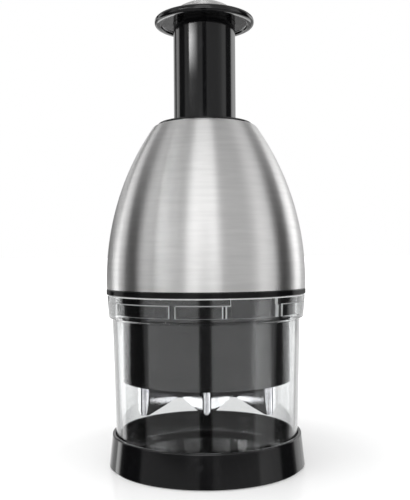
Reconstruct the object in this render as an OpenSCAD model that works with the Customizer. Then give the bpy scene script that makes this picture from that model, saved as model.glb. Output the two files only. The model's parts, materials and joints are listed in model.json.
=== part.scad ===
// Push-top vegetable chopper: a zigzag blade on a sprung plunger turns a step with
// every press, inside a steel dome that locks on a clear cup with a lift-off base.
// Millimetres, +Z up, origin at the middle of the underside, front towards -Y.

/* [Base] */
// Height of the base tray from the table to its rim
base_h = 16; // [12:0.5:22]
// Thickness of the base tray's wall at the rim
base_wall = 1.5; // [1.2:0.1:2.5]
// How far the tray's foot flares out beyond its rim
base_flare = 1.7; // [0.5:0.1:4]
// Thickness of the tray's floor
base_floor_t = 3; // [2.6:0.1:5]
// Height of the ledge that carries the cup, above the floor
seat_h = 1.5; // [1:0.1:3]
// Width of the non-slip ring under the tray
foot_ring_w = 4.6; // [3:0.1:7]
// How far the non-slip ring stands below the tray
foot_proud = 0.3; // [0.3:0.1:1]

/* [Cup] */
// Height of the clear cup
cup_h = 78.9; // [70:0.1:95]
// Inner radius of the cup at its lower edge
cup_bore_r = 42.6; // [38:0.1:50]
// How much the cup widens from its lower edge to its collar
cup_flare = 1.8; // [0.8:0.1:2.2]
// Wall thickness of the cup
cup_wall = 2; // [1.6:0.1:2.6]
// Height of the thick collar at the top of the cup
collar_h = 11.4; // [10.6:0.1:16]
// Height of the bayonet claws at the top of the collar
claw_h = 3.5; // [2.5:0.1:4.5]
// Height of the bayonet channel under the claws
channel_h = 5.5; // [4:0.1:6]
// Angle that the head turns to unlock
unlock_turn = 32; // [25:1:40]
// Angle that one bayonet lug takes up
lug_angle = 24.5; // [20:0.5:32]

/* [Head] */
// Height of the black band between the cup and the shell
band_h = 2.6; // [2.4:0.1:5]
// Height of the steel shell
shell_h = 80.4; // [74:0.1:100]
// Radius of the shell's lower bulge seen from the side
shell_arc_r = 133; // [120:1:160]
// Height of the widest place above the shell's lower edge
shell_wide_h = 4.6; // [0:0.1:10]
// Thickness of the shell's sheet
shell_t = 0.8; // [0.6:0.1:1.2]
// Radius of the rolled edge round the shell's top opening
shell_curl_r = 3; // [1.5:0.1:4]
// Width of the top opening between the stem and the shell's edge
bush_w = 8.3; // [6:0.1:12]
// Length of the blade guard below the shell
guard_h = 44.7; // [38:0.1:50]
// Wall thickness of the blade guard
guard_wall = 2; // [1.6:0.1:2.6]
// Thickness of the stripper plate
stripper_t = 2.4; // [1.8:0.1:3.5]

/* [Plunger] */
// Radius of the plunger's stem
stem_r = 15.4; // [14.5:0.1:16.5]
// Wall thickness of the stem
stem_wall = 2.4; // [1.8:0.1:2.6]
// Length of stem that shows between the shell and the knob
stem_show = 50.2; // [42:0.1:65]
// Radius of the knob
knob_r = 24.75; // [24:0.05:30]
// Height of the knob's black rim
knob_rim_h = 3.6; // [3:0.1:6]
// Height of the domed cap above its edge
cap_h = 9; // [6:0.1:12]
// How far one press moves the plunger
stroke = 24; // [20:0.5:27]
// Angle that one press turns the blade
press_turn = 30; // [15:1:45]
// Wire diameter of the return spring
spring_wire = 1.6; // [1.2:0.1:1.8]
// Number of the spring's turns
spring_turns = 11; // [8:1:14]

/* [Blade] */
// Thickness of the blade strip
blade_t = 0.7; // [0.5:0.05:1]
// Half the width of the zigzag, to the middle of its outer folds
blade_half_w = 28.8; // [24:0.1:29.5]
// Half the depth of the zigzag, to the middle of its inner folds
blade_half_d = 20; // [14:0.1:21]
// Radius of the folds at the middle of the strip
fold_r = 1.9; // [1.4:0.1:2.4]
// Height of the ground bevel at the cutting edge
bevel_h = 2; // [1:0.1:3]

/* [Hidden] */
$fn = 64;

// Colours as seen
black_plastic = [0.06, 0.06, 0.07];
steel = [0.72, 0.72, 0.72];
clear_plastic = [0.85, 0.9, 0.92, 0.35];
rubber = [0.12, 0.12, 0.12];
white_plastic = [0.85, 0.85, 0.82];

// Clearances
face_gap = 0.15;
slide_fit = 0.15;
run_fit = 0.08;
wall_gap = 0.3;
screw_gap = 0.08;
// How far a cutting shape runs past the piece, and joined shapes run into each other
cut = 1;
bite = 0.5;
// Small edges are broken by this much
edge_break = 0.5;

// Fasteners: small tapping screws
screw_r = 1.2;
screw_head_r = 1.85;
screw_head_h = 1.4;
screw_len = 8;
big_screw_r = 1.5;
big_head_r = 2.7;
big_head_h = 1.9;
boss_wall = 1.5;
hole_spare = 1;

// Base tray, from the table upwards
tray_z = foot_proud;
floor_z = tray_z + base_floor_t;
seat_z = floor_z + seat_h;
groove_h = base_floor_t / 2;
edge_r = 0.6;
ledge_in = 0.6;
ledge_slope = 0.8;
foot_ring_out = 1.6;

// Cup, on the tray's ledge
cup_z = seat_z + face_gap;
cup_top = cup_z + cup_h;
collar_z = cup_top - collar_h;
claw_z = cup_top - claw_h;
channel_z = claw_z - channel_h;
cup_foot_r = cup_bore_r + cup_wall;
function cup_r(z) = cup_foot_r + cup_flare * (z - cup_z) / (collar_z - cup_z);
tray_bore_r = cup_r(base_h) + 2 * face_gap;
tray_rim_r = tray_bore_r + base_wall;
tray_foot_r = tray_rim_r + base_flare;
ledge_r = cup_bore_r - ledge_in;
foot_ring_r = ledge_r + foot_ring_out;

// Guard, bayonet ring and collar, from the inside outwards
guard_gap = 0.8;
skirt_wall = 2.6;
lug_reach = 1.75;
lug_gap = 0.45;
band_over = 0.4;
guard_r = cup_bore_r - guard_gap;
guard_bore_r = guard_r - guard_wall;
skirt_bore_r = guard_r + wall_gap;
skirt_r = skirt_bore_r + skirt_wall;
claw_r = skirt_r + wall_gap;
lug_r = skirt_r + lug_reach;
channel_r = lug_r + lug_gap;
collar_r = channel_r + cup_wall;
collar_draft = 0.7;
collar_slope_h = 0.4;
band_r = collar_r + band_over;
band_z = cup_top + face_gap;
shell_z = band_z + band_h;
skirt_z = channel_z + face_gap;

// Angles of the bayonet, with the head locked, counted from the front towards +X
lug_mid = -4.15;
lug_turns = [0, 120, 240];
lug_low = lug_mid - lug_angle / 2;
lug_high = lug_mid + lug_angle / 2;
claw_over = 5.2;
entry_spare = 2.9;
claw_end = lug_high + claw_over;
entry_end = lug_high + unlock_turn + entry_spare;
claw_start = entry_end + 0.5;
stop_angle = 3.5;
stop_gap = 0.8;
detent_gap = 0.6;
detent_angle = 2;
detent_h = 0.25;
entry_r = channel_r - detent_h;
bayonet_screw_mid = (skirt_r + band_r) / 2;

// Shell: a lower arc and an upper arc in side view, which meet in one tangent, rolled in at the top
shell_r = band_r - face_gap;
shell_top = shell_z + shell_h;
arc_z = shell_z + shell_wide_h;
arc_x = shell_r - shell_arc_r;
joint_share = 0.3;
joint_z = shell_z + joint_share * shell_h;
joint_angle = asin((joint_z - arc_z) / shell_arc_r);
joint_dir = [cos(joint_angle), sin(joint_angle)];
joint = [arc_x, arc_z] + shell_arc_r * joint_dir;
curl_x = stem_r + bush_w;
curl_z = shell_top - shell_curl_r;
// The upper arc starts along the lower one and touches the circle of the rolled edge from outside
joint_to_curl = [curl_x, curl_z] - joint;
upper_r = (shell_curl_r * shell_curl_r - joint_to_curl * joint_to_curl)
    / (2 * (joint_to_curl * joint_dir + shell_curl_r));
upper_mid = joint - upper_r * joint_dir;
curl_angle = atan2(curl_z - upper_mid[1], curl_x - upper_mid[0]);
function lower_angle(z, inset) = asin((z - arc_z) / (shell_arc_r - inset));
function upper_angle(z, inset) = asin((z - upper_mid[1]) / (upper_r - inset));
function dome_r(z, inset) = z < joint_z - inset * joint_dir[1]
    ? arc_x + (shell_arc_r - inset) * cos(lower_angle(z, inset))
    : upper_mid[0] + (upper_r - inset) * cos(upper_angle(z, inset));
housing_inset = shell_t + wall_gap;
housing_wall = 2;
rib_t = 1.8;
rib_turns = [0 : 60 : 300];

// Guard, stripper plate and its snap ring
guard_z = shell_z - guard_h;
lip_h = 1.2;
lip_w = 1.6;
lip_r = guard_bore_r - lip_w;
stripper_r = guard_bore_r - wall_gap;
stripper_z = guard_z + lip_h + face_gap;
snap_z = stripper_z + stripper_t + face_gap;
snap_t = 1.4;
snap_groove = 0.9;
snap_split = 10;
snap_top = snap_z + snap_t;
guard_flange_t = 1.8;
guard_flange_r = skirt_r;
guard_flange_z = shell_z + face_gap;
guard_flange_top = guard_flange_z + guard_flange_t;

// Blade carrier, lifted clear of the snap ring by one stroke
press_gap = 0.6;
edge_gap = 0.5;
carrier_z = snap_top + stroke + press_gap;
carrier_t = 5;
carrier_gap = 0.5;
carrier_r = guard_bore_r - carrier_gap;
groove_depth = 3.5;
carrier_top = carrier_z + carrier_t;
hub_r = 9;
hub_h = 11;
hub_top = carrier_top + hub_h;
edge_rest_z = floor_z + edge_gap + stroke;
blade_top = carrier_z + groove_depth - face_gap;
carrier_screw_len = 9;
carrier_head_r = 2 * big_head_r;
carrier_recess_h = big_head_h + 2 * face_gap;
spigot_z = carrier_z + carrier_recess_h + face_gap;

// Drive deck, pawl ring, nut and spring seat, above the hub
deck_gap = 4;
deck_z = hub_top + big_head_h + deck_gap;
deck_t = 4;
deck_r = 30;
deck_top = deck_z + deck_t;
deck_screw_mid = 25;
deck_screw_len = 11;
bar_half = 4;
bar_cut = 1.2;
bar_hole_r = bar_half + 3;
nut_gap = 0.2;
nut_root_r = 11;
nut_tip_r = 13;
nut_teeth = 12;
nut_z = deck_top + face_gap;
nut_h = 7;
pawl_bore_r = 16.4;
pawl_r = 18.2;
nut_play = 0.8;
pawl_h = nut_h + nut_play;
pawl_z = deck_top + face_gap;
seat_disc_z = pawl_z + pawl_h + face_gap;
seat_disc_t = 2.4;
pilot_h = 2;
spring_z = seat_disc_z + seat_disc_t;
well_bore_r = pawl_r + wall_gap;
well_r = well_bore_r + housing_wall;

// Top bush and the plate that stops the plunger
bush_h = 8;
plate_t = 3;
plate_top = shell_top - bush_h;
plate_z = plate_top - plate_t;
bush_r = curl_x - face_gap;
bush_lip_w = 3;
bush_body_r = bush_r - bush_lip_w;
bush_proud = 1.3;
bush_flange_t = 2.2;

// Plunger stem, stop ring and knob
stop_t = 2.4;
stop_z = plate_z - wall_gap - stop_t;
stop_r = well_bore_r - 2 * wall_gap;
stop_groove = 1;
stop_split = 15;
stem_tail = 2;
stem_z = stop_z - stem_tail;
stem_bore_r = stem_r - stem_wall;
knob_z = shell_top + stem_show;
knob_dish = 1.1;
socket_h = 1.6;
stem_top = knob_z + knob_dish + socket_h;
web_t = 4;
web_drop = 21;
web_z = stem_top - web_drop;
boss_r = screw_r + boss_wall;
boss_mid = stem_bore_r - boss_r + 2 * bite;
knob_floor_z = stem_top + face_gap;
knob_floor_t = 2;
head_sink = 1;
rim_top = knob_z + knob_rim_h;
cap_inset = 5.9;
cap_sink = 0.4;
cap_r = knob_r - cap_inset;
cap_t = 1;
cap_z = rim_top - cap_sink;
cap_ball_r = (cap_r * cap_r + cap_h * cap_h) / (2 * cap_h);

// Twist shaft
journal_r = 3.2;
shaft_collar_r = 6;
spigot_r = 3.8;
socket_depth = 3;
bar_neck = 1;
bar_spare = 3;
twist_z = hub_top + bar_neck;
twist_top = nut_z + nut_h + stroke + bar_spare;
shaft_collar_t = 2;
washer_r = 6.2;
washer_t = 0.9;
clip_r = 5.4;
clip_t = 1;
clip_groove = 0.7;
clip_split = 30;
shaft_end = 1.5;
washer_z = web_z + web_t + face_gap;
clip_z = washer_z + washer_t + face_gap;
shaft_top = clip_z + clip_t + shaft_end;
turn_rate = press_turn / stroke;

// Return spring
spring_gap = 1.6;
spring_r = stem_bore_r - spring_wire / 2 - spring_gap;
spring_top = web_z - face_gap;
spring_foot = spring_z + face_gap;
rings_per_turn = 8;

// A ring with a square section
module ring(r_in, r_out, z0, z1) {
    difference() {
        translate([0, 0, z0]) cylinder(r = r_out, h = z1 - z0);
        translate([0, 0, z0 - cut]) cylinder(r = r_in, h = z1 - z0 + 2 * cut);
    }
}

// Part of a ring between two angles, counted from the front towards +X
module sector(r_in, r_out, z0, z1, a0, a1) {
    rotate([0, 0, a0 - 90]) rotate_extrude(angle = a1 - a0)
        translate([r_in, z0]) square([r_out - r_in, z1 - z0]);
}

// Points along an arc
function arc(x, z, r, a0, a1, n) =
    [for (i = [0 : n]) let (a = a0 + (a1 - a0) * i / n) [x + r * cos(a), z + r * sin(a)]];

// All points but the first
function rest(points) = [for (i = [1 : len(points) - 1]) points[i]];

// Points along the dome at a depth below its outer face, at even heights
function dome_arc(z0, z1, inset, n) =
    [for (i = [0 : n]) let (z = z0 + (z1 - z0) * i / n) [dome_r(z, inset), z]];

// A point at a radius and an angle
function polar(r, a) = [r * cos(a), r * sin(a)];

// A flat rib that stands up along a radius, from an outline of radius and height
module upright_rib(turn) {
    rotate([0, 0, turn]) rotate([90, 0, 0]) translate([0, 0, -rib_t / 2]) linear_extrude(rib_t) children();
}

// A pan-head screw that points up, with its head under z
module screw_up(z, r, head_r, head_h, len) {
    translate([0, 0, z - head_h]) cylinder(r = head_r, h = head_h);
    translate([0, 0, z]) cylinder(r = r, h = len);
}

// Base tray with a ledge for the cup and a groove for the non-slip ring
module base_tray() {
    color(black_plastic) difference() {
        rotate_extrude() polygon(concat(
            [[0, tray_z]],
            arc(tray_foot_r - edge_r, tray_z + edge_r, edge_r, -90, 0, 4),
            arc(tray_rim_r - edge_r / 2, base_h - edge_r / 2, edge_r / 2, 0, 90, 4),
            [[tray_bore_r, base_h], [cup_r(seat_z) + 2 * face_gap, seat_z],
             [ledge_r, seat_z], [ledge_r - ledge_slope, floor_z], [0, floor_z]]));
        ring(foot_ring_r - foot_ring_w - face_gap, foot_ring_r + face_gap, tray_z - cut, tray_z + groove_h);
    }
}

// Soft ring that the chopper stands on
module foot_ring() {
    color(rubber) ring(foot_ring_r - foot_ring_w, foot_ring_r, 0, tray_z + groove_h - face_gap);
}

// A flat wedge between two angles, counted from the front towards +X
module wedge(a0, a1) {
    far_r = 2 * collar_r;
    polygon([[0, 0], for (a = [a0, (a0 + a1) / 2, a1]) polar(far_r, a - 90)]);
}

// Plan of the bayonet channel: where each lug turns, with a low detent rib, and a hollow beside it
module channel_plan() {
    stop_low = lug_low - stop_gap;
    rib_low = lug_high + detent_gap;
    difference() {
        intersection() {
            circle(r = channel_r);
            for (turn = lug_turns) {
                wedge(turn + stop_low, turn + claw_start);
                wedge(turn + claw_start + stop_angle, turn + 120 + stop_low - stop_angle);
            }
        }
        circle(r = claw_r - cut);
        for (turn = lug_turns) intersection() {
            wedge(turn + rib_low, turn + rib_low + detent_angle);
            difference() {
                circle(r = collar_r);
                circle(r = entry_r);
            }
        }
    }
}

// Clear cup, open at both ends, with a bayonet channel cut round the inside of its collar
module clear_cup() {
    step_h = 0.6;
    color(clear_plastic) difference() {
        rotate_extrude() polygon([
            [cup_bore_r, cup_z], [cup_foot_r, cup_z], [cup_r(collar_z), collar_z - collar_slope_h],
            [collar_r - collar_draft, collar_z + collar_slope_h], [collar_r, cup_top - edge_break],
            [collar_r - edge_break, cup_top], [claw_r, cup_top], [claw_r, channel_z - step_h],
            [cup_r(collar_z) - cup_wall, channel_z - step_h]]);
        translate([0, 0, channel_z]) linear_extrude(channel_h) channel_plan();
        // Entry gaps between the claws
        for (turn = lug_turns)
            sector(claw_r - cut, entry_r, claw_z - cut, cup_top + cut, turn + claw_end, turn + entry_end);
    }
}

// Places of the screws that hold the bayonet ring to the housing
module at_bayonet_screws() {
    for (turn = lug_turns) rotate([0, 0, turn]) translate([bayonet_screw_mid, 0, 0]) children();
}

// Black band, with a skirt and three lugs that turn under the cup's claws
module bayonet_ring() {
    color(black_plastic) difference() {
        union() {
            rotate_extrude() polygon([
                [skirt_bore_r, skirt_z], [skirt_r, skirt_z], [skirt_r, band_z],
                [band_r - edge_break / 2, band_z], [band_r, band_z + edge_break / 2],
                [band_r, shell_z - edge_break / 2], [band_r - edge_break / 4, shell_z],
                [skirt_bore_r, shell_z]]);
            for (turn = lug_turns)
                sector(skirt_r - bite, lug_r, skirt_z, claw_z - wall_gap, turn + lug_low, turn + lug_high);
        }
        at_bayonet_screws() {
            translate([0, 0, band_z - cut]) cylinder(r = screw_r + screw_gap, h = band_h + 2 * cut);
            translate([0, 0, band_z - cut])
                cylinder(r = screw_head_r + screw_gap, h = screw_head_h + screw_gap + cut);
        }
    }
}

// Screws from under the band into the housing
module bayonet_screws() {
    color(steel) at_bayonet_screws()
        screw_up(band_z + screw_head_h, screw_r, screw_head_r, screw_head_h, screw_len - screw_head_h);
}

// Dark tube round the blade, hung from the bayonet ring by its flange
module blade_guard() {
    color(black_plastic) difference() {
        rotate_extrude() polygon([
            [lip_r, guard_z + edge_break], [lip_r + edge_break, guard_z], [guard_r - edge_break, guard_z],
            [guard_r, guard_z + edge_break],
            [guard_r, guard_flange_z], [guard_flange_r, guard_flange_z],
            [guard_flange_r, guard_flange_top], [guard_bore_r, guard_flange_top],
            [guard_bore_r, guard_z + lip_h], [lip_r, guard_z + lip_h]]);
        ring(guard_bore_r - cut, guard_bore_r + snap_groove,
             snap_z - face_gap / 2, snap_top + face_gap / 2);
    }
}

// The zigzag's folds: outer ones and the middle one in front, two behind.
// The outer ones lie on a circle that keeps their distance from the guard.
fold_step = blade_half_w / 2;
blade_gap = 2.48663;
fold_reach = guard_bore_r - fold_r - blade_t / 2 - blade_gap;
outer_half_d = sqrt(fold_reach * fold_reach - blade_half_w * blade_half_w);
tail_len = 8;
fold_past = 3;
fold_swell = 0.04;
function fold_x(i) = (i - 2) * fold_step;
function fold_side(i) = i % 2 == 0 ? -1 : 1;
function fold_y(i) = fold_side(i) * (i % 4 == 0 ? outer_half_d : blade_half_d);
// Length of each straight run between two folds, and its angle from the depth
function fold_gap(run) = norm([fold_step, fold_y(run + 1) - fold_y(run)]);
function run_len(run) = sqrt(pow(fold_gap(run), 2) - 4 * fold_r * fold_r);
function run_angle(run) =
    atan(fold_step / abs(fold_y(run + 1) - fold_y(run))) - asin(2 * fold_r / fold_gap(run));

// Section of a strip, with its edge down
module strip_section(w, z0, z1, bevel) {
    polygon(bevel > 0
        ? [[-w / 2, z1], [-w / 2, z0 + bevel], [-w / 10, z0],
           [w / 10, z0], [w / 2, z0 + bevel], [w / 2, z1]]
        : [[-w / 2, z1], [-w / 2, z0], [w / 2, z0], [w / 2, z1]]);
}

// A straight run of the strip along -Y from the origin
module strip_run(w, z0, z1, bevel, len) {
    rotate([90, 0, 0]) linear_extrude(len) strip_section(w, z0, z1, bevel);
}

// The whole zigzag strip: five folds, four runs and two short tails
module zigzag(w, z0, z1, bevel, tail) {
    for (i = [0 : 4]) translate([fold_x(i), fold_y(i), 0]) {
        left = run_angle(max(i - 1, 0));
        right = run_angle(min(i, 3));
        // A fold runs a little past its ends and is a hair larger all round, so that it joins the runs
        rotate([0, 0, (fold_side(i) < 0 ? 180 + left : right) - fold_past])
            rotate_extrude(angle = 180 - left - right + 2 * fold_past)
                translate([fold_r, 0])
                    strip_section(w + fold_swell, z0 - fold_swell / 2, z1 + fold_swell / 2, bevel);
        // Run to the next fold, from this fold's right side
        if (i < 4) rotate([0, 0, fold_side(i) < 0 ? -right : right])
            translate([fold_r, 0, 0]) rotate([0, 0, fold_side(i) < 0 ? 180 : 0])
                strip_run(w, z0, z1, bevel, run_len(i));
    }
    for (side = [-1, 1]) translate([side * blade_half_w, -outer_half_d, 0])
        rotate([0, 0, 180 - side * run_angle(0)]) translate([-side * fold_r, 0, 0])
            strip_run(w, z0, z1, bevel, tail);
}

// One bent strip of steel, sharp along its lower edge
module zigzag_blade() {
    color(steel) zigzag(blade_t, edge_rest_z, blade_top, bevel_h, tail_len);
}

// Plate that turns with the blade and wipes it clean through a zigzag slot
module stripper_plate() {
    slot_gap = 0.25;
    color(black_plastic) difference() {
        translate([0, 0, stripper_z]) cylinder(r = stripper_r, h = stripper_t);
        zigzag(blade_t + 2 * slot_gap, stripper_z - cut, stripper_z + stripper_t + cut, 0,
               tail_len + slot_gap);
    }
}

// Open snap ring that keeps the stripper plate in the guard
module stripper_ring() {
    color(steel) sector(lip_r + face_gap, guard_bore_r + snap_groove - face_gap, snap_z, snap_top,
                        snap_split, 360 - snap_split);
}

// Disc that carries the blade in a groove and is screwed to the twist shaft
module blade_carrier() {
    vent_r = 3;
    vent_mid = carrier_r - 7;
    vent_turns = [60, 90, 120];
    rib_end_r = carrier_r - 4;
    rib_drop = 3;
    color(white_plastic) difference() {
        union() {
            translate([0, 0, carrier_z]) cylinder(r = carrier_r, h = carrier_t);
            translate([0, 0, carrier_z]) cylinder(r = hub_r, h = carrier_t + hub_h);
            for (turn = rib_turns) upright_rib(turn) polygon([
                [hub_r - bite, carrier_top - bite], [rib_end_r, carrier_top - bite],
                [rib_end_r, carrier_top], [hub_r - bite, hub_top - rib_drop]]);
        }
        zigzag(blade_t + 2 * face_gap, carrier_z - cut, carrier_z + groove_depth, 0, tail_len + face_gap);
        // Square socket, spigot bore and recess for the screw's head
        translate([0, 0, carrier_z - cut])
            cylinder(r = spigot_r + run_fit, h = carrier_t + hub_h + 2 * cut);
        translate([0, 0, carrier_z - cut])
            cylinder(r = carrier_head_r + face_gap, h = carrier_recess_h + cut);
        translate([0, 0, hub_top - socket_depth]) linear_extrude(socket_depth + cut) bar_outline(run_fit);
        // Vents that let air past
        for (turn = vent_turns) rotate([0, 0, turn]) translate([vent_mid, 0, carrier_z - cut])
            cylinder(r = vent_r, h = carrier_t + 2 * cut);
    }
}

// Wide-headed screw, sunk in the carrier's underside, into the shaft's end
module carrier_screw() {
    color(steel) screw_up(spigot_z - face_gap, big_screw_r, carrier_head_r, big_head_h, carrier_screw_len);
}

// Section of the twisted bar, a square with its corners cut
module bar_outline(gap) {
    half = bar_half + gap;
    polygon([for (turn = [0 : 90 : 270], end = [-1, 1])
        let (across = end * (half - bar_cut))
        [half * cos(turn) - across * sin(turn), half * sin(turn) + across * cos(turn)]]);
}

// Twisted bar that turns the blade as it slides through the nut
module twist_shaft() {
    twist_len = twist_top - twist_z;
    color(steel) difference() {
        union() {
            translate([0, 0, spigot_z]) cylinder(r = spigot_r, h = hub_top - spigot_z);
            translate([0, 0, hub_top - socket_depth + face_gap])
                linear_extrude(twist_z - hub_top + socket_depth - face_gap) bar_outline(0);
            translate([0, 0, twist_z]) linear_extrude(twist_len, twist = turn_rate * twist_len,
                                                      slices = 20, segments = 0, $fn = 8) bar_outline(0);
            translate([0, 0, twist_top - bite]) cylinder(r = journal_r, h = shaft_top - twist_top + bite);
            translate([0, 0, web_z - shaft_collar_t - face_gap])
                cylinder(r = shaft_collar_r, h = shaft_collar_t);
        }
        translate([0, 0, spigot_z - cut])
            cylinder(r = big_screw_r + screw_gap, h = carrier_screw_len + cut);
        ring(journal_r - clip_groove, journal_r + cut,
             clip_z - face_gap / 2, clip_z + clip_t + face_gap / 2);
    }
}

// Thrust washer on the stem's web
module shaft_washer() {
    color(white_plastic) ring(journal_r + run_fit, washer_r, washer_z, washer_z + washer_t);
}

// Open clip in the shaft's groove
module shaft_clip() {
    color(steel) sector(journal_r - clip_groove + run_fit, clip_r, clip_z, clip_z + clip_t,
                        clip_split, 360 - clip_split);
}

// Places of the deck's screws
module at_deck_screws() {
    for (turn = lug_turns) rotate([0, 0, turn]) translate([deck_screw_mid, 0, 0]) children();
}

// Plate under the housing's well that carries the ratchet
module drive_deck() {
    color(black_plastic) difference() {
        translate([0, 0, deck_z]) cylinder(r = deck_r, h = deck_t);
        translate([0, 0, deck_z - cut]) cylinder(r = bar_hole_r, h = deck_t + 2 * cut);
        at_deck_screws() translate([0, 0, deck_z - cut])
            cylinder(r = big_screw_r + screw_gap, h = deck_t + 2 * cut);
    }
}

// Screws from under the deck into the housing
module deck_screws() {
    color(steel) at_deck_screws() screw_up(deck_z, big_screw_r, big_head_r, big_head_h, deck_screw_len);
}

// Toothed nut that holds still on the way down and spins on the way up
module drive_nut() {
    step = 360 / nut_teeth;
    color(white_plastic) difference() {
        translate([0, 0, nut_z]) linear_extrude(nut_h) polygon([for (i = [0 : nut_teeth - 1])
            each [polar(nut_root_r, i * step), polar(nut_tip_r, i * step)]]);
        translate([0, 0, nut_z - cut]) rotate([0, 0, -turn_rate * (nut_z - cut - twist_z)])
            linear_extrude(nut_h + 2 * cut, twist = turn_rate * (nut_h + 2 * cut), slices = 4, segments = 0,
                           $fn = 8) bar_outline(nut_gap);
    }
}

// Ring round the nut with three springy pawls that catch its teeth
module pawl_ring() {
    tip_gap = 0.6;
    tip_turn = -2.5;
    root_low = -30;
    root_high = -18;
    color(black_plastic) translate([0, 0, pawl_z]) linear_extrude(pawl_h) union() {
        difference() {
            circle(r = pawl_r);
            circle(r = pawl_bore_r);
        }
        for (turn = lug_turns) rotate(turn)
            polygon([polar(nut_root_r + tip_gap, tip_turn), polar(pawl_bore_r + bite, root_low),
                     polar(pawl_bore_r + bite, root_high), polar(nut_tip_r, tip_turn)]);
    }
}

// Disc that holds the nut down and centres the spring
module spring_seat() {
    pilot_r = (spring_r - spring_wire / 2) * cos(180 / rings_per_turn) - wall_gap;
    color(black_plastic) difference() {
        union() {
            translate([0, 0, seat_disc_z]) cylinder(r = pawl_r, h = seat_disc_t);
            translate([0, 0, seat_disc_z]) cylinder(r = pilot_r, h = seat_disc_t + pilot_h);
        }
        translate([0, 0, seat_disc_z - cut]) cylinder(r = bar_hole_r, h = seat_disc_t + pilot_h + 2 * cut);
    }
}

// Height of the spring's wire after a number of turns: flat end turns, even pitch between
wire_low = spring_foot + spring_wire / 2;
wire_high = spring_top - spring_wire / 2;
end_gap = 0.6;
end_rise = spring_wire + end_gap;
function wire_z(turn) =
    turn < 1 ? wire_low + end_rise * turn
    : turn > spring_turns - 1 ? wire_high - end_rise * (spring_turns - turn)
    : wire_low + end_rise
      + (wire_high - wire_low - 2 * end_rise) * (turn - 1) / (spring_turns - 2);

// Least gap between one turn of the wire and the next
turn_gaps = [for (i = [0 : (spring_turns - 1) * rings_per_turn])
    wire_z(i / rings_per_turn + 1) - wire_z(i / rings_per_turn) - spring_wire];
echo(least_spring_gap = min(turn_gaps));

// Return spring, one unbroken wire
module return_spring() {
    wire_sides = 6;
    rings = spring_turns * rings_per_turn;
    points = [for (i = [0 : rings], j = [0 : wire_sides - 1])
        let (turn = i / rings_per_turn, side = 360 * j / wire_sides,
             r = spring_r + spring_wire / 2 * cos(side))
        [r * cos(360 * turn), r * sin(360 * turn), wire_z(turn) + spring_wire / 2 * sin(side)]];
    sides = [for (i = [0 : rings - 1], j = [0 : wire_sides - 1])
        let (a = i * wire_sides + j, b = i * wire_sides + (j + 1) % wire_sides)
        each [[a, b, b + wire_sides], [a, b + wire_sides, a + wire_sides]]];
    last = rings * wire_sides;
    ends = [for (j = [1 : wire_sides - 2]) each [[0, j + 1, j], [last, last + j, last + j + 1]]];
    color(steel) polyhedron(points, concat(sides, ends));
}

// Inner moulding: a wall under the shell, a plate that stops the stem, a well and ribs
module inner_housing() {
    foot_z = shell_z + face_gap;
    ledge_z = guard_flange_top + face_gap;
    flange_top = ledge_z + 2.6;
    flange_bore_r = skirt_bore_r + 0.8;
    wall_inset = housing_inset + housing_wall;
    rib_low_z = deck_top + 6;
    rib_high_z = rib_low_z + 14;
    boss_z = deck_top + face_gap;
    boss_h = 14;
    deck_boss_r = big_screw_r + boss_wall;
    color(black_plastic) difference() {
        union() {
            rotate_extrude() polygon(concat(
                dome_arc(foot_z, plate_top, housing_inset, 12),
                [[stem_r + 2 * slide_fit, plate_top], [stem_r + 2 * slide_fit, plate_z],
                 [well_bore_r, plate_z], [well_bore_r, deck_top + face_gap], [well_r, deck_top + face_gap],
                 [well_r, plate_z]],
                dome_arc(plate_z, flange_top, wall_inset, 12),
                [[flange_bore_r, flange_top], [flange_bore_r, ledge_z],
                 [guard_flange_r + wall_gap, ledge_z], [guard_flange_r + wall_gap, foot_z]]));
            // Ribs from the well to the wall
            for (turn = rib_turns) upright_rib(turn) polygon(concat(
                [[well_r - bite, rib_low_z]],
                dome_arc(rib_high_z, plate_z + bite, wall_inset - bite, 6),
                [[well_r - bite, plate_z + bite]]));
            at_deck_screws() translate([0, 0, boss_z]) cylinder(r = deck_boss_r, h = boss_h);
            // Webs that tie the screw bosses to the well
            for (turn = lug_turns) rotate([0, 0, turn]) translate([well_r - bite, -rib_t / 2, boss_z])
                cube([deck_screw_mid - well_r, rib_t, boss_h]);
        }
        at_deck_screws() translate([0, 0, deck_top - cut])
            cylinder(r = big_screw_r + screw_gap, h = deck_screw_len - deck_t + hole_spare + cut);
        at_bayonet_screws() translate([0, 0, foot_z - cut])
            cylinder(r = screw_r + screw_gap, h = screw_len - band_h + cut);
    }
}

// Steel dome pressed from one sheet, rolled in at the top
module steel_shell() {
    foot_z = shell_z + face_gap;
    inner_r = shell_arc_r - shell_t;
    steps = 8;
    color(steel) rotate_extrude() polygon(concat(
        arc(arc_x, arc_z, shell_arc_r, lower_angle(foot_z, 0), joint_angle, steps),
        rest(arc(upper_mid[0], upper_mid[1], upper_r, joint_angle, curl_angle, 2 * steps)),
        rest(arc(curl_x, curl_z, shell_curl_r, curl_angle, 90, steps)),
        arc(curl_x, curl_z, shell_curl_r - shell_t, 90, curl_angle, steps),
        rest(arc(upper_mid[0], upper_mid[1], upper_r - shell_t, curl_angle, joint_angle, 2 * steps)),
        rest(arc(arc_x, arc_z, inner_r, joint_angle, lower_angle(foot_z, shell_t), steps))));
}

// Black bush in the shell's top opening, which guides the stem
module top_bush() {
    bush_z = plate_top + face_gap;
    bush_top = shell_top + bush_proud;
    bore_r = stem_r + slide_fit;
    color(black_plastic) rotate_extrude() polygon([
        [bore_r, bush_z], [bush_body_r, bush_z], [bush_body_r, bush_top - bush_flange_t],
        [bush_r, bush_top - bush_flange_t], [bush_r, bush_top - edge_break],
        [bush_r - edge_break, bush_top], [bore_r + edge_break, bush_top], [bore_r, bush_top - edge_break]]);
}

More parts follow.
